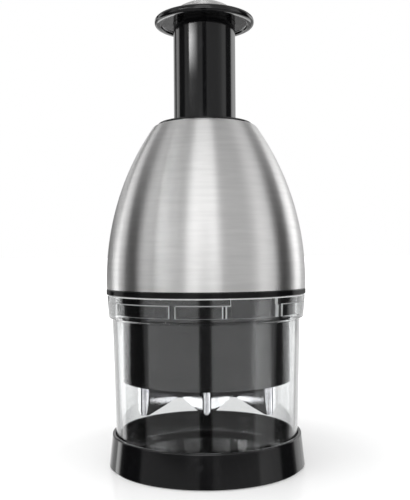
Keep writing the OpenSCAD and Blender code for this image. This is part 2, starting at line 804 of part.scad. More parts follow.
// Places of the knob's screws, round the axis
module at_knob_screws() {
    for (turn = lug_turns) rotate([0, 0, turn]) translate([boss_mid, 0, 0]) children();
}

// Hollow stem with a web that bears the shaft and the spring
module plunger_stem() {
    hole_depth = screw_len + head_sink - knob_floor_t + hole_spare;
    boss_z = web_z + web_t / 2;
    color(black_plastic) difference() {
        union() {
            ring(stem_bore_r, stem_r, stem_z, stem_top);
            translate([0, 0, web_z]) cylinder(r = stem_bore_r + bite, h = web_t);
            at_knob_screws() translate([0, 0, boss_z]) cylinder(r = boss_r, h = stem_top - boss_z);
        }
        translate([0, 0, web_z - cut]) cylinder(r = journal_r + run_fit, h = web_t + 2 * cut);
        ring(stem_r - stop_groove, stem_r + cut, stop_z - face_gap / 2, stop_z + stop_t + face_gap / 2);
        at_knob_screws() translate([0, 0, stem_top - hole_depth])
            cylinder(r = screw_r + screw_gap, h = hole_depth + cut);
    }
}

// Open ring in the stem's groove that stops it under the plate
module stop_ring() {
    color(steel) sector(stem_r - stop_groove + run_fit, stop_r, stop_z, stop_z + stop_t,
                        stop_split, 360 - stop_split);
}

// Round knob with a dished underside and a seat for the cap
module knob() {
    rim_mid = knob_z + knob_rim_h / 2;
    round_r = knob_rim_h / 2;
    rim_w = round_r + 1.6;
    socket_r = stem_r + slide_fit;
    floor_top = knob_floor_z + knob_floor_t;
    floor_r = cap_r - 1.6;
    shoulder_w = 3.2;
    color(black_plastic) difference() {
        rotate_extrude() polygon(concat(
            [[0, knob_floor_z], [socket_r, knob_floor_z], [socket_r, knob_z + knob_dish],
             [knob_r - rim_w, knob_z + knob_dish], [knob_r - rim_w + edge_break, knob_z]],
            arc(knob_r - round_r, rim_mid, round_r, -90, 90, 8),
            [[cap_r + face_gap, rim_top], [cap_r + face_gap, cap_z - face_gap],
             [floor_r, cap_z - face_gap], [floor_r - shoulder_w, floor_top], [0, floor_top]]));
        at_knob_screws() {
            translate([0, 0, knob_floor_z - cut])
                cylinder(r = screw_r + screw_gap, h = knob_floor_t + 2 * cut);
            translate([0, 0, floor_top - head_sink])
                cylinder(r = screw_head_r + screw_gap, h = head_sink + cut);
        }
    }
}

// Screws from under the cap into the stem
module knob_screws() {
    head_z = knob_floor_z + knob_floor_t - head_sink;
    color(steel) at_knob_screws() {
        translate([0, 0, head_z]) cylinder(r = screw_head_r, h = screw_head_h);
        translate([0, 0, head_z - screw_len]) cylinder(r = screw_r, h = screw_len);
    }
}

// Domed steel cap over the knob's screws
module knob_cap() {
    ball_z = cap_z + cap_h - cap_ball_r;
    edge_angle = acos(cap_r / cap_ball_r);
    inner_edge = asin((cap_z - ball_z) / (cap_ball_r - cap_t));
    color(steel) rotate_extrude() polygon(concat(
        arc(0, ball_z, cap_ball_r, edge_angle, 90, 12),
        arc(0, ball_z, cap_ball_r - cap_t, 90, inner_edge, 12)));
}

base_tray();
foot_ring();
clear_cup();
bayonet_ring();
bayonet_screws();
blade_guard();
stripper_plate();
stripper_ring();
steel_shell();
inner_housing();
top_bush();
drive_deck();
deck_screws();
pawl_ring();
drive_nut();
spring_seat();
return_spring();
plunger_stem();
stop_ring();
knob();
knob_screws();
knob_cap();
twist_shaft();
shaft_washer();
shaft_clip();
blade_carrier();
carrier_screw();
zigzag_blade();
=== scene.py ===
"""Looks of a push-top vegetable chopper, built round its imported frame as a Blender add-on script."""
import json
import math

import bmesh
import bpy
from bpy.props import FloatProperty, FloatVectorProperty, IntProperty, PointerProperty
from mathutils import Matrix, Vector


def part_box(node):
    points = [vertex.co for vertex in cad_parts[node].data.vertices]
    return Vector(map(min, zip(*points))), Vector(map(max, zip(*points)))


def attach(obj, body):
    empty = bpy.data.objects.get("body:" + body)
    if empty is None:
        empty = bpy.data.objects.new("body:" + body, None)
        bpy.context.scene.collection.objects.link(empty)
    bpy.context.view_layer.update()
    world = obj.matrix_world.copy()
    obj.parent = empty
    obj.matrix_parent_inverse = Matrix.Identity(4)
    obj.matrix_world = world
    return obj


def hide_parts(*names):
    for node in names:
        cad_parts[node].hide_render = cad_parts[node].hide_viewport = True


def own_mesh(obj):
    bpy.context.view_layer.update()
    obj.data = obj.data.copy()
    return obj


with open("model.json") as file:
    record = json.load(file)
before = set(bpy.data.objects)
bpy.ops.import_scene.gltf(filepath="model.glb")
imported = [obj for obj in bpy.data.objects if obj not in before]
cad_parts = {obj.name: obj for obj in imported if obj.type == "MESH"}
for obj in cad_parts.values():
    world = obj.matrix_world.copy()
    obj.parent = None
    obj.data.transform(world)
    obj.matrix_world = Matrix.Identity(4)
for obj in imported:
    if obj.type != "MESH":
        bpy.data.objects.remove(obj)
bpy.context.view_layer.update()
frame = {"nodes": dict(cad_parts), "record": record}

bl_info = {
    "name": "Vegetable Chopper",
    "version": (1, 0, 0),
    "blender": (4, 5, 0),
    "location": "3D View > Sidebar > Chopper",
    "description": "Builds the pieces, finishes and studio of a push-top vegetable chopper",
    "category": "Object",
}

# Body that each group of pieces moves with
BASE = "base"
CUP = "cup"
HEAD = "head"
PLUNGER = "plunger"
BLADE = "blade"

# Radii of rounded edges, from crisp to full
CRISP = 0.0002
FINE = 0.0003
SLIGHT = 0.0004
EASED = 0.0005
SOFT = 0.0006
FULL = 0.001

# Points nearer to each other than this are one point
WELD = 1e-7

# The bayonet's lugs and claws repeat at thirds of a turn
LUG_COUNT = 3
THIRD = 2 * math.pi / LUG_COUNT

# Shares of a side that a rounding may take, and that a point beside it may stand at
ROUND_LIMIT = 0.49
BESIDE_LIMIT = 0.45
# Distance of that point from the corner, in reaches of the rounding
BESIDE = 1.15


# Sizes read from the frame

def node_radius(node):
    """Largest distance of a round CAD node from the axis."""
    low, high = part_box(node)
    return max(high[0], -low[0], high[1], -low[1])


def node_low(node):
    """Lowest height of a CAD node."""
    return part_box(node)[0][2]


def node_high(node):
    """Highest height of a CAD node."""
    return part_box(node)[1][2]


def length(name, description, default):
    """A size in metres that shows as a length."""
    return FloatProperty(name=name, description=description, default=default, unit="LENGTH", precision=5)


def angle(name, description, degrees):
    """An angle that shows in degrees."""
    return FloatProperty(name=name, description=description, default=math.radians(degrees), unit="ROTATION")


def share(name, description, default):
    """A value from nothing to all."""
    return FloatProperty(name=name, description=description, default=default, min=0.0, max=1.0,
                         subtype="FACTOR")


def number(name, description, default, unit="NONE"):
    """A plain number, in a unit if it has one."""
    return FloatProperty(name=name, description=description, default=default, unit=unit)


def whole(name, description, default, least):
    """A whole number with a least value."""
    return IntProperty(name=name, description=description, default=default, min=least)


def colour(name, description, default):
    """A linear colour."""
    return FloatVectorProperty(name=name, description=description, default=default, subtype="COLOR",
                               size=3, min=0.0, max=1.0)


class ChopperSizes(bpy.types.PropertyGroup):
    """Sizes of the chopper's pieces, in the frame's metres."""
    turn_steps: whole("Turn Steps", "Faces round a turned piece", 192, 48)
    arc_steps: whole("Arc Steps", "Faces round a rounded corner", 5, 1)
    tray_rim_radius: length("Tray Rim Radius", "Outer radius of the tray at its rim", 0.04669)
    tray_bore_radius: length("Tray Bore Radius", "Inner radius of the tray at its rim", 0.04519)
    tray_seat_radius: length("Tray Seat Radius", "Inner radius of the tray where the cup stands", 0.0449)
    tray_seat_height: length("Tray Seat Height", "Height of the ledge that carries the cup", 0.0048)
    tray_ledge_radius: length("Tray Ledge Radius", "Inner radius of the ledge", 0.042)
    tray_floor_radius: length("Tray Floor Radius", "Radius of the tray's sunk floor", 0.0412)
    tray_floor_height: length("Tray Floor Height", "Height of the tray's floor", 0.0033)
    groove_depth: length("Groove Depth", "Depth of the groove for the soft ring", 0.0015)
    groove_gap: length("Groove Gap", "Room on each side of the soft ring", 0.00015)
    foot_ring_width: length("Foot Ring Width", "Width of the soft ring", 0.0046)
    cup_foot_bore: length("Cup Foot Bore", "Inner radius of the cup at its lower edge", 0.0426)
    cup_foot_radius: length("Cup Foot Radius", "Outer radius of the cup at its lower edge", 0.0446)
    cup_neck_bore: length("Cup Neck Bore", "Inner radius of the cup under its collar", 0.0444)
    cup_neck_radius: length("Cup Neck Radius", "Outer radius of the cup under its collar", 0.0464)
    collar_foot_radius: length("Collar Foot Radius", "Outer radius of the collar at its foot", 0.0482)
    collar_low: length("Collar Low", "Height where the cup starts to widen to its collar", 0.07205)
    collar_step: length("Collar Step", "Height where the collar's wall starts", 0.07285)
    claw_radius: length("Claw Radius", "Inner radius of the claws", 0.045)
    channel_radius: length("Channel Radius", "Outer radius of the channel under the claws", 0.0469)
    entry_radius: length("Entry Radius", "Outer radius of the entry gaps", 0.04665)
    channel_low: length("Channel Low", "Height of the channel's floor", 0.07485)
    channel_high: length("Channel High", "Height of the claws' underside", 0.08035)
    step_low: length("Step Low", "Height of the step under the channel", 0.07425)
    lug_start: angle("Lug Start", "Angle where a locked lug starts", -16.4)
    lug_end: angle("Lug End", "Angle where a locked lug ends", 8.1)
    stop_start: angle("Stop Start", "Angle where the channel starts", -17.2)
    rib_start: angle("Rib Start", "Angle where the detent rib starts", 8.7)
    rib_end: angle("Rib End", "Angle where the detent rib ends", 10.7)
    entry_start: angle("Entry Start", "Angle where an entry gap starts", 13.3)
    entry_end: angle("Entry End", "Angle where an entry gap ends", 43.0)
    wall_start: angle("Wall Start", "Angle of the wall that ends the turn", 43.5)
    wall_lean: angle("Wall Lean", "Angle over which an upright wall of the channel leans", 0.06)
    rib_slope: angle("Rib Slope", "Angle over which each side of the detent rib slopes", 0.8)
    claw_bevel: length("Claw Bevel", "Height of the bevel under a claw", 0.0004)
    hollow_start: angle("Hollow Start", "Angle where the hollow behind a claw starts", 47.0)
    hollow_end: angle("Hollow End", "Angle where the hollow behind a claw ends", 99.3)
    skirt_bore: length("Skirt Bore", "Inner radius of the bayonet skirt", 0.0421)
    skirt_radius: length("Skirt Radius", "Outer radius of the bayonet skirt", 0.0447)
    lug_radius: length("Lug Radius", "Outer radius of the lugs", 0.04645)
    lug_high: length("Lug High", "Height of the lugs' upper side", 0.08005)
    band_low: length("Band Low", "Height of the black band's underside", 0.0840)
    guard_bore: length("Guard Bore", "Inner radius of the guard", 0.0398)
    guard_lip_bore: length("Guard Lip Bore", "Inner radius of the guard's lower lip", 0.0382)
    guard_radius: length("Guard Radius", "Outer radius of the guard", 0.0418)
    guard_flange_low: length("Guard Flange Low", "Height of the guard's flange", 0.08675)
    guard_lip_high: length("Guard Lip High", "Height of the guard's lower lip", 0.0431)
    shell_arc_radius: length("Shell Arc Radius", "Radius of the dome seen from the side", 0.133)
    shell_wide_height: length("Shell Wide Height", "Height of the dome's widest place", 0.0912)
    shell_sheet: length("Shell Sheet", "Thickness of the dome's sheet", 0.0008)
    shell_curl: length("Shell Curl", "Radius of the dome's rolled edge", 0.003)
    shell_joint: share("Shell Joint", "Share of the dome's height where its upper arc starts", 0.3)
    shell_opening: length("Shell Opening", "Radius of the opening in the dome's top", 0.0237)
    bush_bore: length("Bush Bore", "Inner radius of the bush", 0.01555)
    bush_lip: length("Bush Lip", "Width of the bush's flange beyond its body", 0.003)
    bush_flange: length("Bush Flange", "Thickness of the bush's flange", 0.0022)
    stem_bore: length("Stem Bore", "Inner radius of the stem", 0.013)
    stem_radius: length("Stem Radius", "Outer radius of the stem", 0.0154)
    web_low: length("Web Low", "Height of the web inside the stem", 0.1989)
    web_thickness: length("Web Thickness", "Thickness of the web inside the stem", 0.004)
    web_bore: length("Web Bore", "Radius of the bore through the web", 0.00328)
    knob_dish: length("Knob Dish", "Depth of the knob's dished underside", 0.0011)
    knob_lip: length("Knob Lip", "Width of the knob's rim around the dish", 0.0034)
    knob_socket: length("Knob Socket", "Radius of the socket for the stem", 0.01555)
    knob_floor: length("Knob Floor", "Thickness of the knob's floor over the stem", 0.002)
    knob_ledge: length("Knob Ledge", "Width of the ledge that carries the cap", 0.0016)
    knob_shoulder: length("Knob Shoulder", "Width of the slope between the ledge and the floor", 0.0032)
    cap_radius: length("Cap Radius", "Radius of the knob's cap", 0.01885)
    cap_sheet: length("Cap Sheet", "Thickness of the cap", 0.001)
    blade_strip: length("Blade Strip", "Thickness of the blade", 0.0007)
    blade_half_width: length("Blade Half Width", "Half the zigzag's width at its folds", 0.0288)
    blade_half_depth: length("Blade Half Depth", "Half the zigzag's depth at its folds", 0.02)
    blade_fold: length("Blade Fold", "Radius of the blade's folds", 0.0019)
    blade_tail: length("Blade Tail", "Length of the blade's loose ends", 0.008)
    blade_bevel: length("Blade Bevel", "Height of the ground edge", 0.002)
    spring_wire: length("Spring Wire", "Diameter of the spring's wire", 0.0016)
    spring_gap: length("Spring Gap", "Gap between the spring's end turns", 0.0006)
    spring_turns: whole("Spring Turns", "Turns of the spring", 11, 4)
    stroke: length("Stroke", "How far a press moves the plunger", 0.024)


class ChopperFinish(bpy.types.PropertyGroup):
    """Colours and finishes of the chopper's materials."""
    black_plastic: colour("Black Plastic", "Colour of the glossy black mouldings", (0.004, 0.004, 0.0045))
    inner_plastic: colour("Inner Plastic", "Colour of the hidden mouldings", (0.030, 0.030, 0.032))
    white_plastic: colour("White Plastic", "Colour of the pale bearing pieces", (0.72, 0.72, 0.69))
    shell_steel: colour("Shell Steel", "Colour of the brushed dome", (0.84, 0.835, 0.83))
    blade_steel: colour("Blade Steel", "Colour of the blade", (0.50, 0.50, 0.51))
    screw_steel: colour("Screw Steel", "Colour of screws, clips and spring", (0.55, 0.55, 0.56))
    cup_tint: colour("Cup Tint", "Tint of the clear cup", (0.928, 0.936, 0.938))
    frosted_plastic: colour("Frosted Plastic", "Colour of the cup's matt edges", (0.95, 0.96, 0.96))
    # Strength of the glow painted on the cup's matt edges, which give off light though they are no lamp
    painted_edge_glow: share("Painted Edge Glow", "Strength of the glow painted on the cup's matt edges", 0.22)
    rubber: colour("Rubber", "Colour of the soft ring", (0.022, 0.022, 0.022))
    gloss_roughness: share("Gloss Roughness", "Roughness of the black plastic", 0.10)
    brush_roughness: share("Brush Roughness", "Roughness of the brushed dome", 0.36)


class ChopperStage(bpy.types.PropertyGroup):
    """Camera, floor and light of the studio."""
    camera_distance: length("Camera Distance", "Distance of the camera from the axis", 0.370)
    camera_height: length("Camera Height", "Height of the camera above the table", 0.103)
    camera_lens: number("Lens", "Focal length on a 36 mm sensor", 53.3, "CAMERA")
    camera_roll: angle("Camera Roll", "Roll of the picture", -0.4)
    shift_right: number("Shift Right", "Sideways shift of the picture", -0.0016)
    shift_up: number("Shift Up", "Upward shift of the picture", 0.010)
    floor_colour: colour("Floor", "Colour of the table", (0.86, 0.86, 0.86))
    floor_glow: share("Floor Glow", "White that the camera adds to the table", 0.22)
    ambient: share("Ambient", "Even light from all round", 0.55)
    key_power: number("Key Power", "Power of the large lamp above", 4.0, "POWER")
    side_power: number("Side Power", "Power of each side lamp", 1.6, "POWER")


# Meshes

def arc_points(centre, radius, start, end, steps):
    """Points of radius and height along an arc between two angles."""
    points = []
    for step in range(steps + 1):
        turn = start + (end - start) * step / steps
        points.append((centre[0] + radius * math.cos(turn), centre[1] + radius * math.sin(turn)))
    return points


def rounded(corners, steps):
    """An outline whose corners (radius, height, rounding) are rounded by arcs."""
    outline = []
    count = len(corners)
    for index, corner in enumerate(corners):
        here = corner[:2]
        rounding = corner[2] if len(corner) > 2 else 0.0
        if rounding <= 0.0:
            outline.append(here)
            continue
        outline.extend(corner_arc(corners[index - 1], here, corners[(index + 1) % count], rounding, steps))
    return outline


def corner_arc(before, here, after, rounding, steps):
    """Points of the arc that rounds one corner, and one beside each end that keeps the flats flat."""
    to_before = (before[0] - here[0], before[1] - here[1])
    to_after = (after[0] - here[0], after[1] - here[1])
    before_len = math.hypot(*to_before)
    after_len = math.hypot(*to_after)
    back = (to_before[0] / before_len, to_before[1] / before_len)
    ahead = (to_after[0] / after_len, to_after[1] / after_len)
    half = math.acos(max(-1.0, min(1.0, back[0] * ahead[0] + back[1] * ahead[1]))) / 2
    reach = min(rounding / math.tan(half), ROUND_LIMIT * before_len, ROUND_LIMIT * after_len)
    radius = reach * math.tan(half)
    middle = (back[0] + ahead[0], back[1] + ahead[1])
    middle_len = math.hypot(*middle)
    far = radius / math.sin(half)
    centre = (here[0] + middle[0] / middle_len * far, here[1] + middle[1] / middle_len * far)
    first = (here[0] + back[0] * reach - centre[0], here[1] + back[1] * reach - centre[1])
    last = (here[0] + ahead[0] * reach - centre[0], here[1] + ahead[1] * reach - centre[1])
    start = math.atan2(first[1], first[0])
    sweep = math.atan2(last[1], last[0]) - start
    sweep = (sweep + math.pi) % (2 * math.pi) - math.pi
    points = arc_points(centre, radius, start, start + sweep, steps)
    beside = reach * BESIDE
    if beside < BESIDE_LIMIT * before_len:
        points.insert(0, (here[0] + back[0] * beside, here[1] + back[1] * beside))
    if beside < BESIDE_LIMIT * after_len:
        points.append((here[0] + ahead[0] * beside, here[1] + ahead[1] * beside))
    return points


def even_turns(start, span, count):
    """Even angles from a start over a span."""
    return [start + span * index / count for index in range(count + 1)]


def turned_rings(profile, steps):
    """The same outline at even angles all round the axis."""
    return [(2 * math.pi * step / steps, profile) for step in range(steps)]


def turned_mesh(name, rings):
    """A closed mesh through outlines of radius and height, each at its angle from the front towards +X."""
    mesh = bpy.data.meshes.new(name)
    build = bmesh.new()
    loops = []
    for turn, profile in rings:
        across = math.sin(turn)
        along = -math.cos(turn)
        loops.append([build.verts.new((radius * across, radius * along, height))
                      for radius, height in profile])
    size = len(loops[0])
    for index, loop in enumerate(loops):
        other = loops[(index + 1) % len(loops)]
        for point in range(size):
            ahead = (point + 1) % size
            build.faces.new((loop[point], loop[ahead], other[ahead], other[point]))
    bmesh.ops.remove_doubles(build, verts=build.verts, dist=WELD)
    bmesh.ops.dissolve_degenerate(build, edges=build.edges, dist=WELD)
    bmesh.ops.recalc_face_normals(build, faces=build.faces)
    build.to_mesh(mesh)
    build.free()
    return mesh


def smooth(mesh, degrees=32.0):
    """Smooth faces, sharp where two meet at more than an angle."""
    for face in mesh.polygons:
        face.use_smooth = True
    mesh.set_sharp_from_angle(angle=math.radians(degrees))


def place(name, mesh, body, slot, node):
    """Links a mesh as a piece in a slot's finish, which rides on a body and stands for a CAD node."""
    mesh.materials.clear()
    mesh.materials.append(finish_for(slot))
    piece = bpy.data.objects.new(name, mesh)
    bpy.context.scene.collection.objects.link(piece)
    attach(piece, body)
    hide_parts(node)
    return piece


def ring_piece(name, rings, body, slot, node):
    """A piece through outlines that stand at angles round the axis."""
    mesh = turned_mesh(name, rings)
    smooth(mesh)
    return place(name, mesh, body, slot, node)


def turned_piece(name, profile, body, slot, node):
    """A piece that is the same all round the axis."""
    steps = bpy.context.scene.chopper_sizes.turn_steps
    ring_piece(name, turned_rings(profile, steps), body, slot, node)


def rounded_piece(name, corners, body, slot, node):
    """A turned piece whose outline's corners are rounded."""
    steps = bpy.context.scene.chopper_sizes.arc_steps
    turned_piece(name, rounded(corners, steps), body, slot, node)


# Node building

class Tree:
    """A node tree under construction, with short calls for nodes and links."""

    def __init__(self, tree):
        self.tree = tree

    def node(self, kind, **settings):
        """A new node with some of its properties set."""
        made = self.tree.nodes.new(kind)
        for key, value in settings.items():
            setattr(made, key, value)
        return made

    def feed(self, socket, value):
        """Sets a socket to a value, or links another socket into it."""
        if isinstance(value, bpy.types.NodeSocket):
            self.tree.links.new(value, socket)
        else:
            socket.default_value = value

    def math(self, operation, *values, clamp=False):
        """A Math node's result."""
        made = self.node("ShaderNodeMath", operation=operation, use_clamp=clamp)
        for index, value in enumerate(values):
            self.feed(made.inputs[index], value)
        return made.outputs[0]

    def times(self, first, second):
        """The product of two values."""
        return self.math("MULTIPLY", first, second)

    def plus(self, first, second):
        """The sum of two values."""
        return self.math("ADD", first, second)

    def minus(self, first, second, clamp=False):
        """One value less another."""
        return self.math("SUBTRACT", first, second, clamp=clamp)

    def spot(self):
        """A surface's place in its object's own frame."""
        return self.node("ShaderNodeTexCoord").outputs["Object"]

    def combine(self, x, y, z):
        """A vector from three values."""
        made = self.node("ShaderNodeCombineXYZ")
        for index, value in enumerate((x, y, z)):
            self.feed(made.inputs[index], value)
        return made.outputs[0]

    def noise(self, vector, scale, detail=2.0, roughness=0.5):
        """A noise texture's even value."""
        made = self.node("ShaderNodeTexNoise")
        self.feed(made.inputs["Vector"], vector)
        self.feed(made.inputs["Scale"], scale)
        made.inputs["Detail"].default_value = detail
        made.inputs["Roughness"].default_value = roughness
        return made.outputs[0]

    def spread(self, value, low, high, new_low, new_high):
        """A value carried from one range to another."""
        made = self.node("ShaderNodeMapRange")
        for index, entry in enumerate((value, low, high, new_low, new_high)):
            self.feed(made.inputs[index], entry)
        return made.outputs[0]

    def band(self, value, rise, fall, level=1.0, floor=0.0):
        """A level between two soft edges, each given by where it starts and where it ends."""
        return self.times(self.spread(value, *rise, floor, level), self.spread(value, *fall, 1.0, 0.0))

    def mix(self, share_value, first, second):
        """A colour between two; the node's colour sockets come after its number and vector ones."""
        made = self.node("ShaderNodeMix", data_type="RGBA")
        self.feed(made.inputs[0], share_value)
        self.feed(made.inputs[6], first)
        self.feed(made.inputs[7], second)
        return made.outputs[2]


def opaque(rgb):
    """A colour with full cover."""
    return (rgb[0], rgb[1], rgb[2], 1.0)


def shaded(rgb, factor):
    """A colour made darker or lighter by a factor."""
    return opaque([channel * factor for channel in rgb])


SOCKET_KINDS = {float: "NodeSocketFloat", int: "NodeSocketInt", type(None): "NodeSocketObject"}


def add_inputs(tree, inputs):
    """Named inputs of a tree, each of its default's kind; one without a default takes an object."""
    for name, default in inputs.items():
        kind = SOCKET_KINDS[type(default)]
        socket = tree.interface.new_socket(name=name, in_out="INPUT", socket_type=kind)
        if default is not None:
            socket.default_value = default


def shader_group(name, inputs, outputs):
    """A shader node group with number inputs (names and defaults) and number outputs (names)."""
    tree = bpy.data.node_groups.new(name, "ShaderNodeTree")
    add_inputs(tree, inputs)
    for output in outputs:
        tree.interface.new_socket(name=output, in_out="OUTPUT", socket_type="NodeSocketFloat")
    build = Tree(tree)
    return build, build.node("NodeGroupInput"), build.node("NodeGroupOutput")


# Fineness of the streaks, as a share of the lines'
STREAK_SHARE = 0.22
# Turn and stretch of the hairlines' pattern, and the noise values where a hairline starts and is full
HAIR_TURN = (0.5, 0.3, 0.7)
HAIR_STRETCH = (1.0, 9.0, 0.35)
HAIR_SPAN = (0.62, 0.72)
# Scale of the slow waves in moulded plastic
WAVE_SCALE = 30.0


def brushed_group():
    """Fine lines that run level round the axis, in long streaks: one value for colour, one for height."""
    build, given, result = shader_group(
        "brushed_lines", {"Length": 60.0, "Fineness": 2600.0}, ("Lines", "Streaks"))
    parts = build.node("ShaderNodeSeparateXYZ")
    build.feed(parts.inputs[0], build.spot())
    across = build.times(parts.outputs[0], given.outputs["Length"])
    along = build.times(parts.outputs[1], given.outputs["Length"])
    level = build.times(parts.outputs[2], given.outputs["Fineness"])
    lines = build.noise(build.combine(across, along, level), 1.0, detail=3.0, roughness=0.6)
    wide_level = build.times(level, STREAK_SHARE)
    streaks = build.noise(build.combine(across, along, wide_level), 0.8)
    build.feed(result.inputs["Lines"], lines)
    build.feed(result.inputs["Streaks"], streaks)
    return build.tree


def scuff_group():
    """Faint handling marks: soft smears in one mask and thin hairlines in another."""
    build, given, result = shader_group(
        "handling_marks", {"Smear Scale": 45.0, "Hairline Scale": 260.0}, ("Smears", "Hairlines"))
    spot = build.spot()
    smears = build.noise(spot, given.outputs["Smear Scale"], detail=4.0, roughness=0.55)
    stretch = build.node("ShaderNodeMapping")
    build.feed(stretch.inputs["Vector"], spot)
    stretch.inputs["Rotation"].default_value = HAIR_TURN
    stretch.inputs["Scale"].default_value = HAIR_STRETCH
    hair = build.noise(stretch.outputs[0], given.outputs["Hairline Scale"])
    build.feed(result.inputs["Smears"], smears)
    build.feed(result.inputs["Hairlines"], build.spread(hair, *HAIR_SPAN, 0.0, 1.0))
    return build.tree


def moulded_group():
    """Slight waviness and fine grain of moulded plastic, as a height."""
    build, given, result = shader_group("moulded_skin", {"Grain Scale": 900.0, "Grain": 0.15}, ("Height",))
    spot = build.spot()
    wave = build.noise(spot, WAVE_SCALE, detail=1.0, roughness=0.4)
    grain = build.noise(spot, given.outputs["Grain Scale"], detail=3.0, roughness=0.6)
    build.feed(result.inputs["Height"], build.plus(wave, build.times(grain, given.outputs["Grain"])))
    return build.tree


def shared_group(name, maker):
    """A shader group, built on its first use."""
    return bpy.data.node_groups.get(name) or maker()


# Stretch of a noise's range that marks mostly fill, and the wider one of brushed lines
MARK_SPAN = (0.3, 0.7)
LINE_SPAN = (0.25, 0.75)


class Finish:
    """A material with one Principled shader, and the groups placed in it."""

    def __init__(self, name):
        self.material = bpy.data.materials.new(name)
        self.material.use_nodes = True
        self.build = Tree(self.material.node_tree)
        self.shader = self.material.node_tree.nodes["Principled BSDF"]

    def set(self, socket, value):
        """Sets or links one of the shader's sockets."""
        self.build.feed(self.shader.inputs[socket], value)

    def group(self, name, maker, **values):
        """A shared group with its own values; returns its outputs."""
        made = self.build.node("ShaderNodeGroup")
        made.node_tree = shared_group(name, maker)
        for key, value in values.items():
            made.inputs[key.replace("_", " ")].default_value = value
        return made.outputs

    def vary_colour(self, mask, first, second):
        """Base colour that goes from one to another with a mask."""
        self.set("Base Color", self.build.mix(mask, first, second))

    def vary_roughness(self, mask, low, high, span=MARK_SPAN):
        """Roughness that goes from low to high over a stretch of a mask."""
        self.set("Roughness", self.build.spread(mask, *span, low, high))

    def bump(self, height, strength, distance):
        """A bump from a height, fed to the shader's normal."""
        made = self.build.node("ShaderNodeBump")
        made.inputs["Strength"].default_value = strength
        made.inputs["Distance"].default_value = distance
        self.build.feed(made.inputs["Height"], height)
        self.build.feed(self.shader.inputs["Normal"], made.outputs[0])


def black_gloss(looks):
    """Polished black plastic with faint smears and moulding waves."""
    finish = Finish("gloss_black_plastic")
    build = finish.build
    marks = finish.group("handling_marks", scuff_group)
    skin = finish.group("moulded_skin", moulded_group, Grain=0.02)
    gloss = looks.gloss_roughness
    smeared = build.spread(marks["Smears"], 0.35, 0.75, gloss * 0.75, gloss * 1.35)
    finish.vary_colour(marks["Hairlines"], opaque(looks.black_plastic), shaded(looks.black_plastic, 1.8))
    finish.set("Roughness", build.plus(smeared, build.times(marks["Hairlines"], 0.02)))
    finish.set("IOR", 1.5)
    finish.bump(skin["Height"], strength=0.05, distance=0.0004)
    return finish.material


def satin_plastic(name, rgb, roughness):
    """Hidden mouldings: a fine satin grain."""
    finish = Finish(name)
    marks = finish.group("handling_marks", scuff_group)
    skin = finish.group("moulded_skin", moulded_group, Grain_Scale=2200.0, Grain=0.4)
    finish.vary_colour(marks["Smears"], opaque(rgb), shaded(rgb, 0.8))
    finish.vary_roughness(marks["Smears"], roughness * 0.9, roughness * 1.1)
    finish.bump(skin["Height"], strength=0.12, distance=0.0003)
    return finish.material


def brushed_shell(looks):
    """Stainless sheet brushed level round the axis."""
    finish = Finish("brushed_shell_steel")
    brush = finish.group("brushed_lines", brushed_group, Length=70.0, Fineness=3600.0)
    shade = finish.build.spread(brush["Streaks"], *MARK_SPAN, 0.0, 1.0)
    finish.vary_colour(shade, shaded(looks.shell_steel, 0.92), opaque(looks.shell_steel))
    finish.set("Metallic", 1.0)
    matt = looks.brush_roughness
    finish.vary_roughness(brush["Lines"], matt * 0.88, matt * 1.12, LINE_SPAN)
    finish.set("Anisotropic", 1.0)
    finish.set("Anisotropic Rotation", 0.25)
    tangent = finish.build.node("ShaderNodeTangent", direction_type="RADIAL", axis="Z")
    finish.set("Tangent", tangent.outputs[0])
    finish.bump(brush["Lines"], strength=0.07, distance=0.0002)
    return finish.material


def blade_metal(looks):
    """Blade steel with fine rolled lines along the strip and ground lines across it."""
    finish = Finish("blade_steel")
    brush = finish.group("brushed_lines", brushed_group, Length=90.0, Fineness=1500.0)
    ground = finish.group("brushed_lines", brushed_group, Length=1500.0, Fineness=50.0)
    red, green, blue = looks.blade_steel
    shade = finish.build.spread(brush["Streaks"], *MARK_SPAN, 0.0, 1.0)
    finish.vary_colour(shade, (red * 0.75, green * 0.75, blue * 0.77, 1.0), opaque(looks.blade_steel))
    finish.set("Metallic", 1.0)
    finish.vary_roughness(brush["Lines"], 0.05, 0.13, LINE_SPAN)
    finish.bump(ground["Lines"], strength=0.35, distance=0.0002)
    return finish.material


def bright_steel(looks):
    """Bright drawn steel of screws, clips and the spring."""
    finish = Finish("bright_screw_steel")
    marks = finish.group("handling_marks", scuff_group, Smear_Scale=300.0, Hairline_Scale=900.0)
    finish.vary_colour(marks["Smears"], shaded(looks.screw_steel, 0.7), opaque(looks.screw_steel))
    finish.set("Metallic", 1.0)
    finish.vary_roughness(marks["Smears"], 0.18, 0.34)
    return finish.material


def clear_plastic(looks):
    """Clear moulded plastic with faint handling marks."""
    finish = Finish("clear_cup_plastic")
    marks = finish.group("handling_marks", scuff_group)
    finish.set("Base Color", opaque(looks.cup_tint))
    finish.vary_roughness(marks["Smears"], 0.0, 0.035, (0.3, 0.8))
    finish.set("IOR", 1.49)
    finish.set("Transmission Weight", 1.0)
    return finish.material


def frosted_edge_painted_glow(looks):
    """Clear plastic left matt by the mould along narrow edges, with a painted glow of their own that makes
    them show as bright lines.
    """
    finish = Finish("frosted_cup_edge")
    marks = finish.group("handling_marks", scuff_group, Smear_Scale=160.0)
    base = opaque(looks.frosted_plastic)
    finish.vary_colour(marks["Smears"], base, shaded(looks.frosted_plastic, 0.8))
    finish.vary_roughness(marks["Smears"], 0.4, 0.6)
    # Painted glow: the matt edges give off light of their own, so they show bright even where no lamp
    # reaches them
    finish.set("Emission Color", base)
    finish.set("Emission Strength", looks.painted_edge_glow)
    return finish.material


